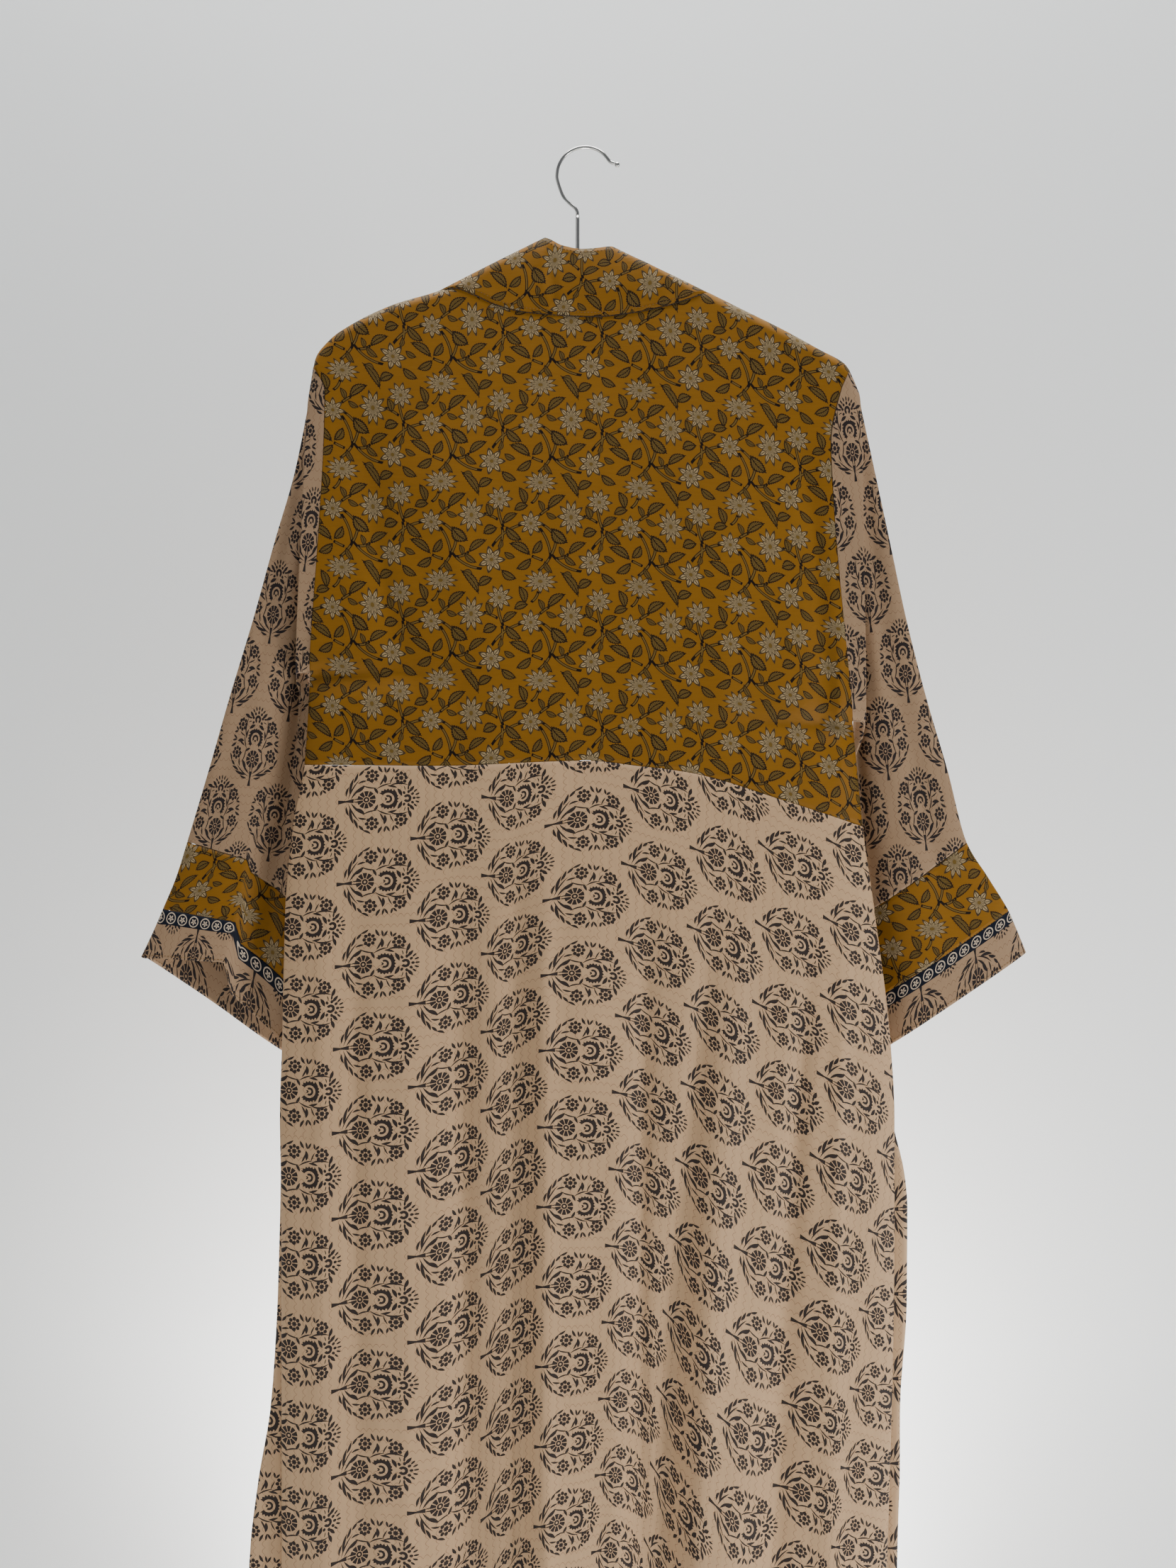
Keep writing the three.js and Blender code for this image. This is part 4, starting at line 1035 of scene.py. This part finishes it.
# Stems: from x, y to x, y and bend
VINE_STEMS = (
    (0.10, -0.04, 0.21, -0.33, 0.16), (0.21, -0.33, 0.50, -0.48, -0.22), (0.12, 0.0, 0.26, -0.14, 0.16),
    (0.26, -0.14, 0.20, -0.33, 0.14), (0.20, -0.33, 0.08, -0.48, 0.1), (0.66, 0.20, 0.72, -0.04, -0.08),
    (0.72, -0.04, 0.69, -0.24, 0.2), (0.92, 0.01, 0.60, -0.22, -0.2), (0.53, 0.10, 0.67, 0.04, 0.1),
    (0.01, -0.33, 0.12, -0.37, -0.04), (0.26, -0.35, 0.38, -0.30, -0.2), (0.08, 0.31, 0.01, 0.20, 0.2),
    (0.09, 0.09, 0.18, 0.16, 0.05),
)


def vine_leaves(graph, point):
    """The masks of the leaves and of their lines: a toothed edge, a middle vein and side veins in
    the nearest leaf's own coordinates."""
    best, chosen = 9.0, (9.0, 0.0, 0.0)
    for x0, y0, x1, y1, width in VINE_LEAVES:
        bend = 0.22 if (x0 * 7 + y1 * 5) % 1 > 0.5 else -0.22
        score, along, across, _ = graph.stroke(point, x0, y0, x1, y1, 0.86 * width, bend, True)
        pair = graph.node("ShaderNodeCombineXYZ", along, across, 0.0).outputs[0]
        nearer = graph.math("LESS_THAN", score, best)
        chosen = graph.choose(nearer, chosen, pair)
        best = graph.math("MINIMUM", score, best)
    split = graph.node("ShaderNodeSeparateXYZ", chosen)
    along, across = split.outputs[0], graph.math("ABSOLUTE", split.outputs[1])
    saw = graph.math("PINGPONG", graph.math("MULTIPLY", along, 5.0), 0.5)
    edge = graph.math("MULTIPLY_ADD", saw, 0.36, graph.math("SUBTRACT", best, 0.09))
    slanted = graph.math("SUBTRACT", along, across)
    veins = graph.math("FRACT", graph.math("MULTIPLY", slanted, 3.2))
    vein = graph.math("MAXIMUM", graph.inside(veins, 0.26), graph.inside(across, 0.09))
    outline = graph.math("GREATER_THAN", edge, 0.72)
    return graph.inside(edge, 1.0), graph.math("MAXIMUM", vein, outline)


def vine_stems(graph, point):
    """The masks of the stems and of the two lines on their sides."""
    stems = []
    for x0, y0, x1, y1, bend in VINE_STEMS:
        _, _, across, square = graph.stroke(point, x0, y0, x1, y1, 0.0145, bend, True)
        stems.append(graph.math("MAXIMUM", graph.math("ABSOLUTE", across), square))
    stem = graph.least(stems)
    return graph.inside(stem), graph.math("GREATER_THAN", stem, 0.5)


def nearest_flower(graph, point):
    """The nearest flower's own coordinates, the distance from its heart in shares of its size, and
    its number of petals."""
    best, chosen, count = 9.0, (9.0, 0.0, 0.0), 9.0
    for centre, half, petals in VINE_FLOWERS:
        high = (centre[0] + 0.5, centre[1] + 0.5, 2)
        low = (centre[0] - 0.5, centre[1] - 0.5, 0)
        near = graph.vector("WRAP", point, high, low)
        near = graph.vector("SUBTRACT", near, (centre[0], centre[1], 1))
        near = graph.vector("MULTIPLY", near, (1 / half[0], 1 / half[1], 0))
        score = graph.vector("LENGTH", near)
        nearer = graph.math("LESS_THAN", score, best)
        chosen = graph.choose(nearer, chosen, near)
        more = graph.math("SUBTRACT", float(petals), count)
        count = graph.math("MULTIPLY_ADD", nearer, more, count)
        best = graph.math("MINIMUM", score, best)
    return chosen, best, count


def vine_flowers(graph, point):
    """The masks of the flowers, of their lines and of their hearts: petals from the cosine and
    sine of half the petals' angle, twice over, with hatching from their tips."""
    chosen, best, count = nearest_flower(graph, point)
    split = graph.node("ShaderNodeSeparateXYZ", chosen)
    angle = graph.math("ARCTAN2", split.outputs[1], split.outputs[0])
    turn = graph.math("MULTIPLY", graph.math("MULTIPLY", angle, count), 0.5)
    petal = graph.math("ABSOLUTE", graph.math("COSINE", turn))
    petal_in = graph.math("ABSOLUTE", graph.math("SINE", turn))
    notch = graph.math("MULTIPLY_ADD", petal_in, -0.26, 0.84)
    outer = graph.math("DIVIDE", best, graph.math("MULTIPLY_ADD", petal, 0.24, notch))
    inner = graph.math("DIVIDE", best, graph.math("MULTIPLY_ADD", petal_in, 0.26, 0.34))
    lines = graph.inside(petal, graph.math("MULTIPLY_ADD", best, -0.14, 0.34))
    lines = graph.math("MAXIMUM", lines, graph.math("GREATER_THAN", outer, 0.84))
    inner_line = graph.inside(graph.math("ABSOLUTE", graph.math("SUBTRACT", inner, 1.0)), 0.13)
    inner_all = graph.math("MAXIMUM", inner_line, graph.inside(petal_in, 0.22))
    lines = graph.choose(graph.inside(inner), lines, inner_all)
    hatch = graph.math("COSINE", graph.math("MULTIPLY", turn, 6.0))
    reach_in = graph.math("GREATER_THAN", hatch, graph.math("MULTIPLY_ADD", outer, 1.5, -0.35))
    lines = graph.math("MAXIMUM", lines, reach_in)
    return graph.inside(outer, 1.0), lines, graph.inside(best, 0.14)


MUSTARD = linear(133, 90, 19)
GREIGE = linear(160, 138, 100)
OLIVE = linear(108, 84, 36)
BROWN_INK = linear(22, 13, 6)
TAN = linear(195, 160, 123)
# Painted shade: the body's tan darkened for the sleeves, which hang back in shade.
SHADED_SLEEVE_TAN = linear(160, 131, 102)
SCALLOP_BROWN = linear(96, 62, 42)
NAVY = linear(16, 17, 27)
BORDER_NAVY = linear(14, 20, 34)
BORDER_CREAM = linear(190, 172, 150)
SILK_GLOSS = 0.16
SLUBS_ACROSS = (60, 500, 500)
SLUBS_DOWN = (500, 500, 60)


def cloth_surface(graph, colour, roughness, slub_scale):
    """Silk: soft uneven colour, faint slubs along one thread and a fine uneven surface."""
    coordinates = graph.node("ShaderNodeTexCoord").outputs["Object"]
    stretched = graph.vector("MULTIPLY", coordinates, slub_scale)
    slub = graph.node("ShaderNodeTexNoise", stretched, None, 1.0, 3.0)
    soft = graph.node("ShaderNodeTexNoise", coordinates, None, 7.0, 2.0)
    shade = graph.math("MULTIPLY_ADD", slub.outputs[0], 0.16, 0.92)
    shade = graph.math("MULTIPLY", shade, graph.math("MULTIPLY_ADD", soft.outputs[0], 0.12, 0.94))
    shades = graph.node("ShaderNodeCombineXYZ", shade, shade, shade).outputs[0]
    tinted = graph.vector("MULTIPLY", colour, shades)
    shader = graph.tree.nodes["Principled BSDF"]
    graph.put(shader.inputs["Base Color"], tinted)
    graph.put(shader.inputs["Roughness"], roughness)
    graph.put(shader.inputs["Specular IOR Level"], SILK_GLOSS)
    wrinkle = graph.node("ShaderNodeTexNoise", coordinates, None, 38.0, 4.0)
    height = graph.math("MULTIPLY_ADD", slub.outputs[0], 0.25, wrinkle.outputs[0])
    bump = graph.tree.nodes.new("ShaderNodeBump")
    graph.put(bump.inputs["Strength"], 0.35)
    graph.put(bump.inputs["Distance"], 0.0015)
    graph.put(bump.inputs["Height"], height)
    graph.put(shader.inputs["Normal"], bump.outputs[0])


def new_material(name):
    """A material with a plain shader, and the graph that adds to it."""
    material = bpy.data.materials.new(name)
    material.use_nodes = True
    return material, Graph(material.node_tree)


def uv_map(graph, name):
    """The coordinates of one of the piece's own UV maps."""
    return graph.node("ShaderNodeUVMap", uv_map=name).outputs[0]


def tan_colour(graph, coordinates, ground):
    """The tan ground with its wavy lines, which turn from patch to patch, and the tree print."""
    patch = graph.vector("MULTIPLY", coordinates, (0.5, 0.5, 0))
    patch = graph.node("ShaderNodeTexNoise", patch, None, 1.3, 0.0).outputs[0]
    turned = graph.math("GREATER_THAN", patch, 0.56)
    down = scallops(graph, coordinates, False)
    over = scallops(graph, coordinates, True)
    line = graph.math("MULTIPLY_ADD", turned, graph.math("SUBTRACT", over, down), down)
    colour = graph.paint(graph.math("MULTIPLY", line, 0.6), ground, SCALLOP_BROWN)
    ink = graph.math("MULTIPLY", tree_print(graph, coordinates), 0.95)
    return graph.paint(ink, colour, robe_colour("tree_ink"))


def tan_material(name, ground):
    """The tan print with one of its two grounds. The sleeves' ground is the body's tan darkened as painted
    shade.
    """
    material, graph = new_material(name)
    colour = tan_colour(graph, uv_map(graph, "print"), robe_colour(ground))
    cloth_surface(graph, colour, 0.62, SLUBS_DOWN)
    return material


def cuff_material():
    """The tan print on the sleeves' ground, darkened as painted shade, with a navy border of cream rings
    that each hold a small flower.
    """
    material, graph = new_material("cuff print")
    colour = tan_colour(graph, uv_map(graph, "print"), robe_colour("sleeve_ground"))
    border = uv_map(graph, "border")
    cell = graph.vector("WRAP", border, (0.5, 90, 1), (-0.5, -90, -1))
    scale = (BORDER_DEPTH, BORDER_DEPTH, 0)
    cell = graph.vector("MULTIPLY_ADD", cell, scale, (0, -BORDER_DEPTH / 2, 1))
    radius, folded, _ = graph.polar(cell, (0, 0), 5, 0.3)
    petal = graph.math("COSINE", graph.math("MULTIPLY", folded, 2.2))
    flower = graph.math("DIVIDE", radius, graph.math("MULTIPLY", petal, 2.9))
    flower = graph.math("MAXIMUM", flower, graph.math("DIVIDE", 0.5, radius))
    cream = graph.math("MINIMUM", flower, graph.ring(radius, 4.5, 0.5))
    split = graph.node("ShaderNodeSeparateXYZ", cell)
    inside = graph.inside(graph.math("ABSOLUTE", split.outputs[1]), BORDER_DEPTH / 2)
    printed = graph.paint(graph.inside(cream), BORDER_NAVY, BORDER_CREAM)
    colour = graph.paint(inside, colour, printed)
    cloth_surface(graph, colour, 0.62, SLUBS_DOWN)
    return material


def mustard_material():
    """The vine print: stems, leaves and flowers laid over the mustard ground in turn."""
    material, graph = new_material("mustard print")
    ink = robe_colour("vine_ink")
    flat = graph.vector("MULTIPLY", uv_map(graph, "print"), (1, 1, 0))
    point = graph.vector("ADD", flat, (0, 0, 1))
    stem, stem_line = vine_stems(graph, point)
    leaf, leaf_line = vine_leaves(graph, point)
    flower, flower_line, heart = vine_flowers(graph, point)
    green = graph.paint(stem_line, OLIVE, ink)
    colour = graph.paint(stem, robe_colour("mustard_ground"), green)
    green = graph.paint(graph.math("MULTIPLY", leaf_line, 0.95), OLIVE, ink)
    colour = graph.paint(leaf, colour, green)
    grey = graph.paint(graph.math("MULTIPLY", flower_line, 0.9), GREIGE, ink)
    colour = graph.paint(flower, colour, graph.paint(heart, grey, OLIVE))
    cloth_surface(graph, colour, 0.6, SLUBS_ACROSS)
    return material


def wood_material():
    """Pale wood with rings that run along the arms."""
    material, graph = new_material("pale wood")
    coordinates = graph.node("ShaderNodeTexCoord").outputs["Object"]
    grain = graph.vector("MULTIPLY", coordinates, (12, 160, 260))
    rings = graph.node("ShaderNodeTexNoise", grain, None, 1.0, 4.0).outputs[0]
    colour = graph.paint(rings, linear(214, 184, 138), linear(170, 128, 82))
    shader = graph.tree.nodes["Principled BSDF"]
    graph.put(shader.inputs["Base Color"], colour)
    graph.put(shader.inputs["Roughness"], 0.45)
    return material


def steel_material():
    """Bright steel wire."""
    material, graph = new_material("polished steel")
    shader = graph.tree.nodes["Principled BSDF"]
    graph.put(shader.inputs["Base Color"], linear(196, 194, 190))
    graph.put(shader.inputs["Metallic"], 1.0)
    graph.put(shader.inputs["Roughness"], 0.2)
    return material


def thread_material(name, colour):
    """Sewing thread, and the dark line of painted shadow under the collar's edge."""
    material, graph = new_material(name)
    shader = graph.tree.nodes["Principled BSDF"]
    graph.put(shader.inputs["Base Color"], colour)
    graph.put(shader.inputs["Roughness"], 0.7)
    return material


MATERIALS = {}


def material_for(name):
    """Each material is made once, when the first piece asks for it."""
    makers = {
        "mustard": mustard_material,
        "tan": lambda: tan_material("tan print", "tan_ground"),
        # Painted shade: the sleeves' print takes the darker, shaded ground.
        "sleeve": lambda: tan_material("tan print of the sleeves", "sleeve_ground"),
        "cuff": cuff_material,
        "wood": wood_material,
        "steel": steel_material,
        "thread": lambda: thread_material("thread", linear(120, 86, 34)),
        # Painted shadow: a dark line for the shade in the gap under the collar's edge.
        "seam": lambda: thread_material("seam", linear(44, 28, 10)),
    }
    if name not in MATERIALS:
        MATERIALS[name] = makers[name]()
    return MATERIALS[name]


# Settings, operators and panel


def colour_property(name, description, default):
    """A colour that the user may change, with its alpha."""
    return bpy.props.FloatVectorProperty(
        name=name, description=description, default=default,
        size=4, min=0.0, max=1.0, subtype="COLOR",
    )


class RobeSettings(bpy.types.PropertyGroup):
    cloth: bpy.props.FloatProperty(
        name="Cloth thickness", description="Thickness of each cloth shell",
        default=0.0006, min=0.0001, unit="LENGTH",
    )
    fineness: bpy.props.FloatProperty(
        name="Fineness", description="Multiplies the number of rows and columns of each shell",
        default=1.0, min=0.2, max=1.2, subtype="FACTOR",
    )
    mustard_ground: colour_property("Mustard", "Ground of the vine print", MUSTARD)
    vine_ink: colour_property("Brown ink", "Lines of the vine print", BROWN_INK)
    tan_ground: colour_property("Tan", "Ground of the tree print on the body", TAN)
    # Painted shade: a darker tan for the shade on the sleeves and cuffs.
    sleeve_ground: colour_property("Sleeve tan", "Ground of the tree print on the sleeves", SHADED_SLEEVE_TAN)
    tree_ink: colour_property("Navy ink", "Trees of the tree print", NAVY)


def robe_colour(name):
    """One of the colours in the settings."""
    return tuple(getattr(bpy.context.scene.robe, name))


def finish_piece(made, node, material):
    """Gives a made piece its material and slot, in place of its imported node."""
    made.data.materials.append(material_for(material))
    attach(made, "root")
    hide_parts(node)
    return made


def cloth_piece(node, across, down, surface, uv, material, border=None):
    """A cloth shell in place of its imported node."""
    settings = bpy.context.scene.robe
    columns = round(across * settings.fineness)
    rows = round(down * settings.fineness)
    made = grid_mesh(node + "_cloth", columns, rows, surface, uv, border)
    thicken(made, settings.cloth)
    finish_piece(made, node, material)
    return made


class ROBE_OT_back(bpy.types.Operator):
    """Builds the upper and the lower back"""

    bl_idname = "robe.back"
    bl_label = "Back"

    def execute(self, context):
        cloth_piece(
            "back_yoke", 150, 130, lambda u, v: back_panel(u, v, True), vine_uv,
            "mustard",
        )
        cloth_piece(
            "back_skirt", 180, 230, lambda u, v: back_panel(u, v, False), back_tree_uv,
            "tan",
        )
        return {"FINISHED"}


class ROBE_OT_fronts(bpy.types.Operator):
    """Builds the four front pieces"""

    bl_idname = "robe.fronts"
    bl_label = "Fronts"

    def execute(self, context):
        for side in ("left", "right"):
            cloth_piece(
                f"front_{side}_yoke", 70, 100,
                lambda u, v, side=side: front_panel(side, u, v, True), vine_uv,
                "mustard",
            )
            cloth_piece(
                f"front_{side}_skirt", 90, 150,
                lambda u, v, side=side: front_panel(side, u, v, False), front_tree_uv,
                "tan",
            )
        return {"FINISHED"}


NECKBAND_PARTS = (
    ("left", 200, (0.075, 1.36)),
    ("back", 130, (0.06, 0.26)),
    ("right", 200, (0.075, 1.36)),
)


class ROBE_OT_neckband(bpy.types.Operator):
    """Builds the three lengths of the neckband"""

    bl_idname = "robe.neckband"
    bl_label = "Neckband"

    def execute(self, context):
        for name, rows, flat in NECKBAND_PARTS:
            cloth_piece(
                f"neckband_{name}", 14, rows,
                lambda u, v, name=name: neckband_part(name, u, v), band_vine_uv(name),
                "mustard",
            )
            out = np.array([0, -STITCH_STAND if name == "back" else STITCH_STAND, 0])
            for row, share in (("seam", 0.05), ("edge", 0.955)):
                along = np.linspace(0.01, 0.99, 400)
                path = np.stack(neckband_part(name, np.full(400, share), along), -1)
                stitch_row(f"neckband_{name}_{row}_stitches", path + out)
        # Painted shadow: a nearly unbroken dark line of stitches just under the collar's lower edge, for
        # the shade in the seam's gap.
        along = np.linspace(0.03, 0.97, 300)
        under = np.stack(neckband_part("back", np.full(300, -0.012), along), -1)
        stitch_row("collar_seam_line", under, 3.08, 0.42, "seam")
        return {"FINISHED"}


class ROBE_OT_sleeves(bpy.types.Operator):
    """Builds both sleeves, their bands and their cuffs"""

    bl_idname = "robe.sleeves"
    bl_label = "Sleeves"

    def execute(self, context):
        for side in ("left", "right"):
            def surface(first, last, side=side):
                return lambda u, v: sleeve_point(side, u, lerp(first, last, v))

            upper = (0, BAND_ROW - ROW_GAP)
            band = (BAND_ROW + ROW_GAP, CUFF_ROW - ROW_GAP)
            cuff = (CUFF_ROW + ROW_GAP, HEM_ROW)
            cloth_piece(
                f"sleeve_{side}", 140, 150, surface(*upper), sleeve_tree_uv(side, upper),
                "sleeve",
            )
            cloth_piece(
                f"sleeve_band_{side}", 140, 20, surface(*band), sleeve_vine_uv(side, band),
                "mustard",
            )
            cloth_piece(
                f"cuff_{side}", 140, 20, surface(*cuff), cuff_tree_uv(side, cuff),
                "cuff", border=cuff_border_uv(side, cuff),
            )
            around = np.linspace(0, 1, 500)
            ring = np.stack(sleeve_point(side, around, np.full(500, HEM_ROW - 0.12)), -1)
            ring[:, 1] += np.sign(ring[:, 1] - ring[:, 1].mean()) * STITCH_STAND
            stitch_row(f"cuff_{side}_hem_stitches", ring)
        return {"FINISHED"}


HOOK_WIRE = 1.6
HOOK_BEND = 25.6
HOOK_CENTRE_Z = -24.0
HOOK_TIP = [(26.5, 0, -13.4), (22.6, 0, -11.6), (19.2, 0, -7.4)]
HOOK_NECK = [(-20.4, 0, -42.2), (-14.4, 0, -49.2), (-8.9, 0, -54), (-7.2, 0, -57.4), (-7, 0, -60.2)]
POST_X = -7.0
POST_RADIUS = 1.95
BALL_RADIUS = 2.5
BALL_CENTRE = (29.0, -14.4)


def rounded_path(points, steps):
    """A smooth path through points: between each two, the cubic whose slope at a point is half
    the way from the one before it to the one after it."""
    slope = np.gradient(points, axis=0)
    t = np.linspace(0, 1, steps, endpoint=False)[:, None]
    parts = [
        hermite(t, points[i], points[i + 1], slope[i], slope[i + 1]) for i in range(len(points) - 1)
    ]
    return np.concatenate(parts + [points[-1:]])


def hook_path():
    """The wire's middle line: a tip bent back, a round bow of 151 degrees and a neck that comes
    back over the post."""
    angle = np.radians(np.linspace(52, 203, 60))[::6]
    bow_z = HOOK_CENTRE_Z + HOOK_BEND * np.sin(angle)
    bow = np.stack([HOOK_BEND * np.cos(angle), 0 * angle, bow_z], 1)
    return rounded_path(np.concatenate([HOOK_TIP, bow, HOOK_NECK]), 12)


class ROBE_OT_hanger(bpy.types.Operator):
    """Gives the imported arms their wood, and builds the steel hook, its post and its ball tip"""

    bl_idname = "robe.hanger"
    bl_label = "Hanger"

    def execute(self, context):
        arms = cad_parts["hanger_body"]
        arms.data.materials.clear()
        arms.data.materials.append(material_for("wood"))
        wire = tube_mesh("hook_wire", hook_path(), HOOK_WIRE)
        finish_piece(wire, "hanger_hook", "steel")
        line = np.linspace(-60.8, -99.3, 12)
        post = tube_mesh("ferrule", np.stack([np.full(12, POST_X), 0 * line, line], 1), POST_RADIUS)
        finish_piece(post, "hanger_ferrule", "steel")
        turn = np.linspace(0, np.pi, 14)
        middle, height = BALL_CENTRE
        line = np.stack([middle - BALL_RADIUS * np.cos(turn), 0 * turn, np.full(14, height)], 1)
        ball = tube_mesh("ball_tip", line, np.maximum(BALL_RADIUS * np.sin(turn), 0.02))
        finish_piece(ball, "hanger_ball", "steel")
        return {"FINISHED"}


# The studio, in metres

WALL_WHITE = linear(243, 245, 244)
FLOOR_Z = -1.75
WALL_Y = 0.5
WALL_TOP = 4.0
BACKDROP_BEND = 0.5
BACKDROP_HALF = 8.0
SKY = (0.9, 0.94, 1.0, 1)
SKY_STRENGTH = 0.22
CAMERA_DISTANCE = 1.5
CAMERA_PLACE = (0.0025, -CAMERA_DISTANCE - 0.02, -0.5765)
FRAME_HEIGHT = 1.4046
SENSOR = 36.0
# Name, place, target, size and power
LAMPS = (
    ("key", (1.5, -0.85, -1.2), (0.0, 0.0, -0.9), 0.5, 17.0),
    ("low fill", (-0.9, -1.2, -1.4), (0.0, 0.0, -0.9), 0.7, 2.6),
    ("side", (-2.4, -1.2, 0.6), (0.0, 0.0, -0.5), 1.4, 4.0),
    ("top", (0.4, -0.9, 2.2), (0.0, 0.0, -0.3), 1.8, 5.0),
    ("wall wash", (0.0, 0.1, 1.9), (0.0, 0.5, 0.2), 1.8, 118.0),
    ("low wash", (0.0, 0.3, -1.6), (0.0, 0.5, -1.1), 0.5, 34.0),
)


def backdrop_material():
    """Matt white on its front, and clear from behind."""
    material, graph = new_material("pale backdrop")
    shader = graph.tree.nodes["Principled BSDF"]
    graph.put(shader.inputs["Base Color"], WALL_WHITE)
    graph.put(shader.inputs["Roughness"], 0.8)
    behind = graph.node("ShaderNodeNewGeometry").outputs["Backfacing"]
    clear = graph.node("ShaderNodeBsdfTransparent").outputs[0]
    seen = graph.node("ShaderNodeMixShader", behind, shader.outputs[0], clear).outputs[0]
    graph.put(graph.tree.nodes["Material Output"].inputs["Surface"], seen)
    return material


def add_backdrop():
    """A floor and a wall as one sheet, joined by a quarter round."""
    angle = np.linspace(0, np.pi / 2, 13)
    bend_y = WALL_Y - BACKDROP_BEND + BACKDROP_BEND * np.sin(angle)
    bend_z = FLOOR_Z + BACKDROP_BEND - BACKDROP_BEND * np.cos(angle)
    y = np.concatenate([[-BACKDROP_HALF], bend_y, [WALL_Y]])
    z = np.concatenate([[FLOOR_Z], bend_z, [WALL_TOP]])
    points = [(side * BACKDROP_HALF, *place) for place in zip(y, z) for side in (-1, 1)]
    faces = [(2 * i, 2 * i + 1, 2 * i + 3, 2 * i + 2) for i in range(len(y) - 1)]
    sweep = solid_mesh("backdrop", points, faces)
    sweep.data.materials.append(backdrop_material())


def add_lamp(name, place, target, size, power):
    """A square lamp turned towards its target."""
    light = bpy.data.lights.new(name, "AREA")
    light.shape = "SQUARE"
    light.size = size
    light.energy = power
    lamp = bpy.data.objects.new(name, light)
    lamp.location = place
    aim = Vector(target) - lamp.location
    lamp.rotation_euler = aim.to_track_quat("-Z", "Y").to_euler()
    bpy.context.scene.collection.objects.link(lamp)


def add_sky():
    """Even soft light from all round."""
    world = bpy.data.worlds.new("soft light")
    world.use_nodes = True
    sky = world.node_tree.nodes["Background"]
    sky.inputs[0].default_value = SKY
    sky.inputs[1].default_value = SKY_STRENGTH
    bpy.context.scene.world = world


def add_camera():
    """A level camera whose frame is FRAME_HEIGHT tall at the cloth: the lens is the sensor times
    the distance over that height."""
    lens = bpy.data.cameras.new("camera")
    lens.sensor_fit = "VERTICAL"
    lens.sensor_height = SENSOR
    lens.sensor_width = SENSOR
    lens.lens = SENSOR * CAMERA_DISTANCE / FRAME_HEIGHT
    eye = bpy.data.objects.new("camera", lens)
    eye.location = CAMERA_PLACE
    eye.rotation_euler = (math.pi / 2, 0, 0)
    bpy.context.scene.collection.objects.link(eye)
    bpy.context.scene.camera = eye


class ROBE_OT_studio(bpy.types.Operator):
    """Sets the backdrop, the floor, the lights and the camera"""

    bl_idname = "robe.studio"
    bl_label = "Studio"

    def execute(self, context):
        add_backdrop()
        for lamp in LAMPS:
            add_lamp(*lamp)
        add_sky()
        add_camera()
        return {"FINISHED"}


class ROBE_PT_panel(bpy.types.Panel):
    bl_label = "Robe"
    bl_idname = "ROBE_PT_panel"
    bl_space_type = "VIEW_3D"
    bl_region_type = "UI"
    bl_category = "Robe"

    def draw(self, context):
        for name in RobeSettings.__annotations__:
            self.layout.prop(context.scene.robe, name)
        for operator in OPERATORS:
            self.layout.operator(operator.bl_idname)


OPERATORS = (
    ROBE_OT_back, ROBE_OT_fronts, ROBE_OT_neckband, ROBE_OT_sleeves, ROBE_OT_hanger, ROBE_OT_studio,
)
CLASSES = (RobeSettings,) + OPERATORS + (ROBE_PT_panel,)


def register():
    """Adds the settings, the operators and the panel."""
    for cls in CLASSES:
        bpy.utils.register_class(cls)
    bpy.types.Scene.robe = bpy.props.PointerProperty(type=RobeSettings)


def unregister():
    """Takes them away in the opposite order."""
    del bpy.types.Scene.robe
    for cls in reversed(CLASSES):
        bpy.utils.unregister_class(cls)


def main():
    """Builds everything in order."""
    register()
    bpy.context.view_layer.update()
    bpy.ops.robe.back()
    bpy.ops.robe.fronts()
    bpy.ops.robe.neckband()
    bpy.ops.robe.sleeves()
    bpy.ops.robe.hanger()
    bpy.ops.robe.studio()


if __name__ == "__main__":
    main()
